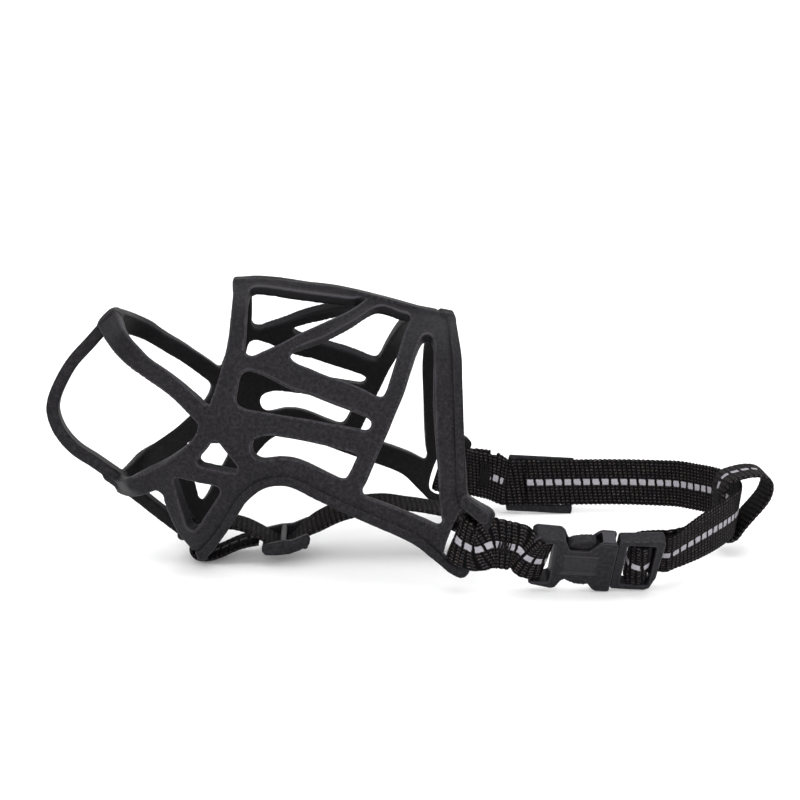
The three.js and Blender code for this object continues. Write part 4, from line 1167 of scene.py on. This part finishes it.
class Shader:
    """A material and short ways to add nodes to it."""

    def __init__(self, name):
        self.material = bpy.data.materials.new(name)
        self.material.use_nodes = True
        self.tree = self.material.node_tree

    def feed(self, sockets, inputs):
        """Links sockets, or sets colours (tuples) and numbers."""
        for key, value in inputs.items():
            if isinstance(value, bpy.types.NodeSocket):
                self.tree.links.new(value, sockets[key])
            else:
                sockets[key].default_value = (*value, 1) if isinstance(value, tuple) else value

    def node(self, kind, inputs, **settings):
        made = self.tree.nodes.new(kind)
        for key, value in settings.items():
            setattr(made, key, value)
        self.feed(made.inputs, inputs)
        return made

    def surface(self, inputs):
        self.feed(self.tree.nodes["Principled BSDF"].inputs, inputs)

    def coordinates(self):
        return self.node("ShaderNodeTexCoord", {}).outputs["Object"]

    def attribute(self, name):
        return self.node("ShaderNodeAttribute", {}, attribute_name=name).outputs["Fac"]

    def noise(self, vector, scale, detail, roughness):
        inputs = {"Scale": scale, "Detail": detail, "Roughness": roughness, "Vector": vector}
        return self.node("ShaderNodeTexNoise", inputs).outputs["Fac"]

    def ramp(self, factor, stops):
        made = self.node("ShaderNodeValToRGB", {"Fac": factor})
        elements = made.color_ramp.elements
        for element, (position, colour) in zip(elements, (stops[0], stops[-1])):
            element.position = position
            element.color = (*colour, 1)
        for position, colour in stops[1:-1]:
            elements.new(position).color = (*colour, 1)
        return made.outputs["Color"]

    def mix(self, factor, a, b, **settings):
        inputs = {MIX_FACTOR: factor, MIX_A: a, MIX_B: b}
        made = self.node("ShaderNodeMix", inputs, data_type="RGBA", **settings)
        return made.outputs[MIX_COLOUR]

    def math(self, operation, *values):
        return self.node("ShaderNodeMath", dict(enumerate(values)), operation=operation).outputs[0]

    def scaled(self, value, gain, plus):
        return self.math("MULTIPLY_ADD", value, gain, plus)

    def clamped(self, value, top):
        return self.math("MINIMUM", self.math("MAXIMUM", value, 0.0), top)

    def bump(self, height, strength, distance):
        inputs = {"Strength": strength, "Distance": distance, "Height": height}
        self.surface({"Normal": self.node("ShaderNodeBump", inputs).outputs["Normal"]})


def moulded(name, base, roughness, grain, edge_highlight, specular, inner_shade=0.0):
    """Rubber or plastic: fine speckle, slight mottling, a painted highlight on raised edges, painted
    shade in creases and, with inner_shade, on the inner faces.
    """
    def tint(gain, plus=0.0):
        return tuple(min(1, c * gain + plus) for c in base)

    shader = Shader(name)
    vector = shader.coordinates()
    fine = shader.noise(vector, scale=950.0, detail=3.0, roughness=0.75)
    coarse = shader.noise(vector, scale=90.0, detail=4.0, roughness=0.55)
    speckle = shader.ramp(fine, [(0.34, tint(0.25)), (0.5, base), (0.66, tint(2.3))])
    mottle = shader.ramp(coarse, [(0.35, tint(0.86)), (0.65, tint(1.15))])
    colour = shader.mix(0.25, speckle, mottle)
    edge = shader.attribute("edge")
    crease = shader.attribute("crease")
    # painted highlight: outside edges, from the edge attribute, are painted paler
    pale = shader.math("MULTIPLY", shader.scaled(edge, gain=3.3, plus=-0.26), edge_highlight)
    colour = shader.mix(shader.clamped(pale, top=1.0), colour, tint(3.2, plus=0.008))
    # painted shade: inside corners, from the crease attribute, are painted darker
    dark = shader.clamped(shader.scaled(crease, gain=2.6, plus=-0.15), top=0.8)
    colour = shader.mix(dark, colour, tint(0.15))
    # painted shade: the inner faces, from the within attribute, are painted darker
    if inner_shade > 0:
        within = shader.math("MULTIPLY", shader.attribute("within"), inner_shade)
        colour = shader.mix(within, colour, tint(0.12))
    swing = 0.22  # spread of the roughness about its mean
    shader.surface({
        "Base Color": colour,
        "Roughness": shader.scaled(coarse, gain=swing, plus=roughness - swing / 2),
        "Specular IOR Level": specular,
    })
    pores = shader.noise(vector, scale=1300.0, detail=3.0, roughness=0.6)
    shader.bump(shader.scaled(pores, gain=0.7, plus=0.0), strength=0.8 * grain, distance=0.00016)
    return shader.material


def woven(name):
    """Near-black fibres of random tone, a painted highlight on the rib tops and painted shade
    between the ribs, and pale dashes.
    """
    shader = Shader(name)
    vector = shader.coordinates()
    relief = shader.attribute("relief")
    dash = shader.attribute("dash")
    fibre = shader.noise(vector, scale=1900.0, detail=3.0, roughness=0.65)
    patches = shader.noise(vector, scale=420.0, detail=2.0, roughness=0.5)
    # fibre noise gives random tone; the rib relief adds a painted highlight on the rib tops and
    # painted shade between them
    height = shader.scaled(fibre, gain=0.55, plus=shader.math("MULTIPLY", relief, 0.75))
    dark = shader.ramp(height, [(0.42, (0.0003, 0.0003, 0.0004)), (0.66, (0.0026, 0.0025, 0.0028)),
                                (0.86, (0.028, 0.026, 0.027)), (1.0, (0.14, 0.132, 0.132))])
    warmth = shader.ramp(patches, [(0.42, (0.75, 0.74, 0.80)), (0.62, (1.15, 1.02, 0.95))])
    ground = shader.mix(1.0, dark, warmth, blend_type="MULTIPLY")
    pale = shader.ramp(fibre, [(0.25, (0.20, 0.188, 0.212)), (0.75, (0.36, 0.342, 0.375))])
    shown = shader.ramp(dash, [(0.42, (0, 0, 0)), (0.58, (1, 1, 1))])
    shown = shader.node("ShaderNodeSeparateColor", {0: shown}).outputs[0]
    shader.surface({
        "Base Color": shader.mix(shown, ground, pale),
        "Roughness": 0.8,
        "Specular IOR Level": 0.06,
    })
    fibre_height = shader.math("MULTIPLY", fibre, 0.8)
    rib_height = shader.math("MULTIPLY", relief, 0.5)
    shader.bump(shader.math("ADD", fibre_height, rib_height), strength=0.6, distance=0.00018)
    return shader.material


def twisted(name):
    """Thread with fine diagonal bands."""
    shader = Shader(name)
    inputs = {"Scale": 900.0, "Distortion": 2.0, "Vector": shader.coordinates()}
    bands = shader.node("ShaderNodeTexWave", inputs, wave_type="BANDS",
                        bands_direction="DIAGONAL").outputs["Fac"]
    shader.surface({
        "Base Color": shader.ramp(bands, [(0.2, (0.002, 0.0018, 0.002)),
                                          (0.8, (0.012, 0.011, 0.0115))]),
        "Roughness": 0.75,
        "Specular IOR Level": 0.08,
    })
    shader.bump(bands, strength=0.5, distance=0.0001)
    return shader.material


def paper(name):
    """White paper that glows more towards the wall."""
    shader = Shader(name)
    cloud = shader.noise(shader.coordinates(), scale=3.0, detail=2.0, roughness=0.5)
    white = shader.ramp(cloud, [(0.3, (0.925, 0.925, 0.928)), (0.7, (0.94, 0.94, 0.942))])
    position = shader.node("ShaderNodeNewGeometry", {}).outputs["Position"]
    y = shader.node("ShaderNodeSeparateXYZ", {0: position}).outputs[1]
    # value, from y low and high (m), to emission low and high
    glow = shader.node("ShaderNodeMapRange", {0: y, 1: 0.25, 2: 1.8, 3: 0.07, 4: 0.45}).outputs[0]
    shader.surface({
        "Base Color": white,
        "Roughness": 0.9,
        "Specular IOR Level": 0.1,
        "Emission Color": (1, 1, 1),
        "Emission Strength": glow,
    })
    return shader.material


def paint(pieces, material):
    for piece in pieces:
        piece.data.materials.clear()
        piece.data.materials.append(material)


rubber = moulded("soft_rubber", base=(0.0088, 0.0080, 0.0096), roughness=0.60, grain=1.0,
                 edge_highlight=0.8, specular=0.11, inner_shade=0.7)
plastic = moulded("buckle_plastic", base=(0.0086, 0.0080, 0.0097), roughness=0.50, grain=0.4,
                  edge_highlight=1.0, specular=0.13)
paint(rubber_pieces, rubber)
paint(hard_pieces, plastic)
paint(straps, woven("woven_webbing"))
paint(tacks, twisted("bonded_thread"))
paint([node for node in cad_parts.values() if not node.hide_render], plastic)

# ---------------------------------------------------------------- studio, in metres
FLOOR_FRONT, BEND_START, BEND_RADIUS, BEND_STEPS, WALL_TOP = -3.0, 2.0, 1.2, 16, 4.0
FLOOR_HALF_WIDTH, FLOOR_COLUMNS = 4, 9
FLOOR_DROP = 0.00002  # keeps the floor just clear of the product


def make_floor():
    """A floor that curves up into a wall at the back (+y)."""
    profile = [(FLOOR_FRONT, 0.0), (BEND_START, 0.0)]
    for k in range(1, BEND_STEPS + 1):
        angle = math.pi / 2 * k / BEND_STEPS
        profile.append((BEND_START + math.sin(angle) * BEND_RADIUS,
                        BEND_RADIUS - math.cos(angle) * BEND_RADIUS))
    profile.append((BEND_START + BEND_RADIUS, WALL_TOP))
    xs = np.linspace(-FLOOR_HALF_WIDTH, FLOOR_HALF_WIDTH, FLOOR_COLUMNS)
    points = np.array([(x, y, z - FLOOR_DROP) for y, z in profile for x in xs])
    starts = [i * FLOOR_COLUMNS + j
              for i in range(len(profile) - 1) for j in range(FLOOR_COLUMNS - 1)]
    quads = np.array([(k, k + 1, k + 1 + FLOOR_COLUMNS, k + FLOOR_COLUMNS) for k in starts])
    made = quad_object("studio_floor", points, quads)
    paint([made], paper("paper"))


def area_light(name, place, aim, size, power):
    light = bpy.data.lights.new(name, "AREA")
    light.shape = "RECTANGLE"
    light.size = size
    light.size_y = size
    light.energy = power
    made = add_object(name, light)
    made.location = place
    made.rotation_euler = (Vector(aim) - Vector(place)).to_track_quat("-Z", "Y").to_euler()


def make_world():
    world = bpy.data.worlds.new("studio")
    bpy.context.scene.world = world
    world.use_nodes = True
    background = world.node_tree.nodes["Background"]
    background.inputs["Color"].default_value = (1, 1, 1, 1)
    background.inputs["Strength"].default_value = 0.62


def make_camera():
    camera = bpy.data.cameras.new("camera")
    camera.sensor_width = 36.0
    camera.lens = 81.0
    camera.clip_start = 0.01
    made = add_object("camera", camera)
    right = (0.99919, -0.04027, 0)
    up = (0.00857, 0.21269, 0.97708)
    ahead = (0.03935, 0.97629, -0.21287)
    eye = to_frame((-23.607, -585.773, 181.219))
    rows = [(right[k], up[k], -ahead[k], eye[k]) for k in range(3)]
    made.matrix_world = Matrix(rows + [(0, 0, 0, 1)])
    bpy.context.scene.camera = made


make_floor()
area_light("top_softbox", place=(0.1, -0.2, 1.3), aim=(0, 0, 0), size=1.8, power=17.0)
area_light("front_softbox", place=(-0.5, -1.4, 0.6), aim=(0, 0, 0.04), size=1.2, power=14.0)
area_light("right_softbox", place=(1.1, -0.9, 0.7), aim=(0, 0, 0.04), size=1.0, power=6.0)
area_light("back_softbox", place=(0.2, 1.3, 0.9), aim=(0, 0, 0.04), size=1.2, power=4.0)
make_world()
bpy.context.scene.view_settings.view_transform = "Standard"
make_camera()
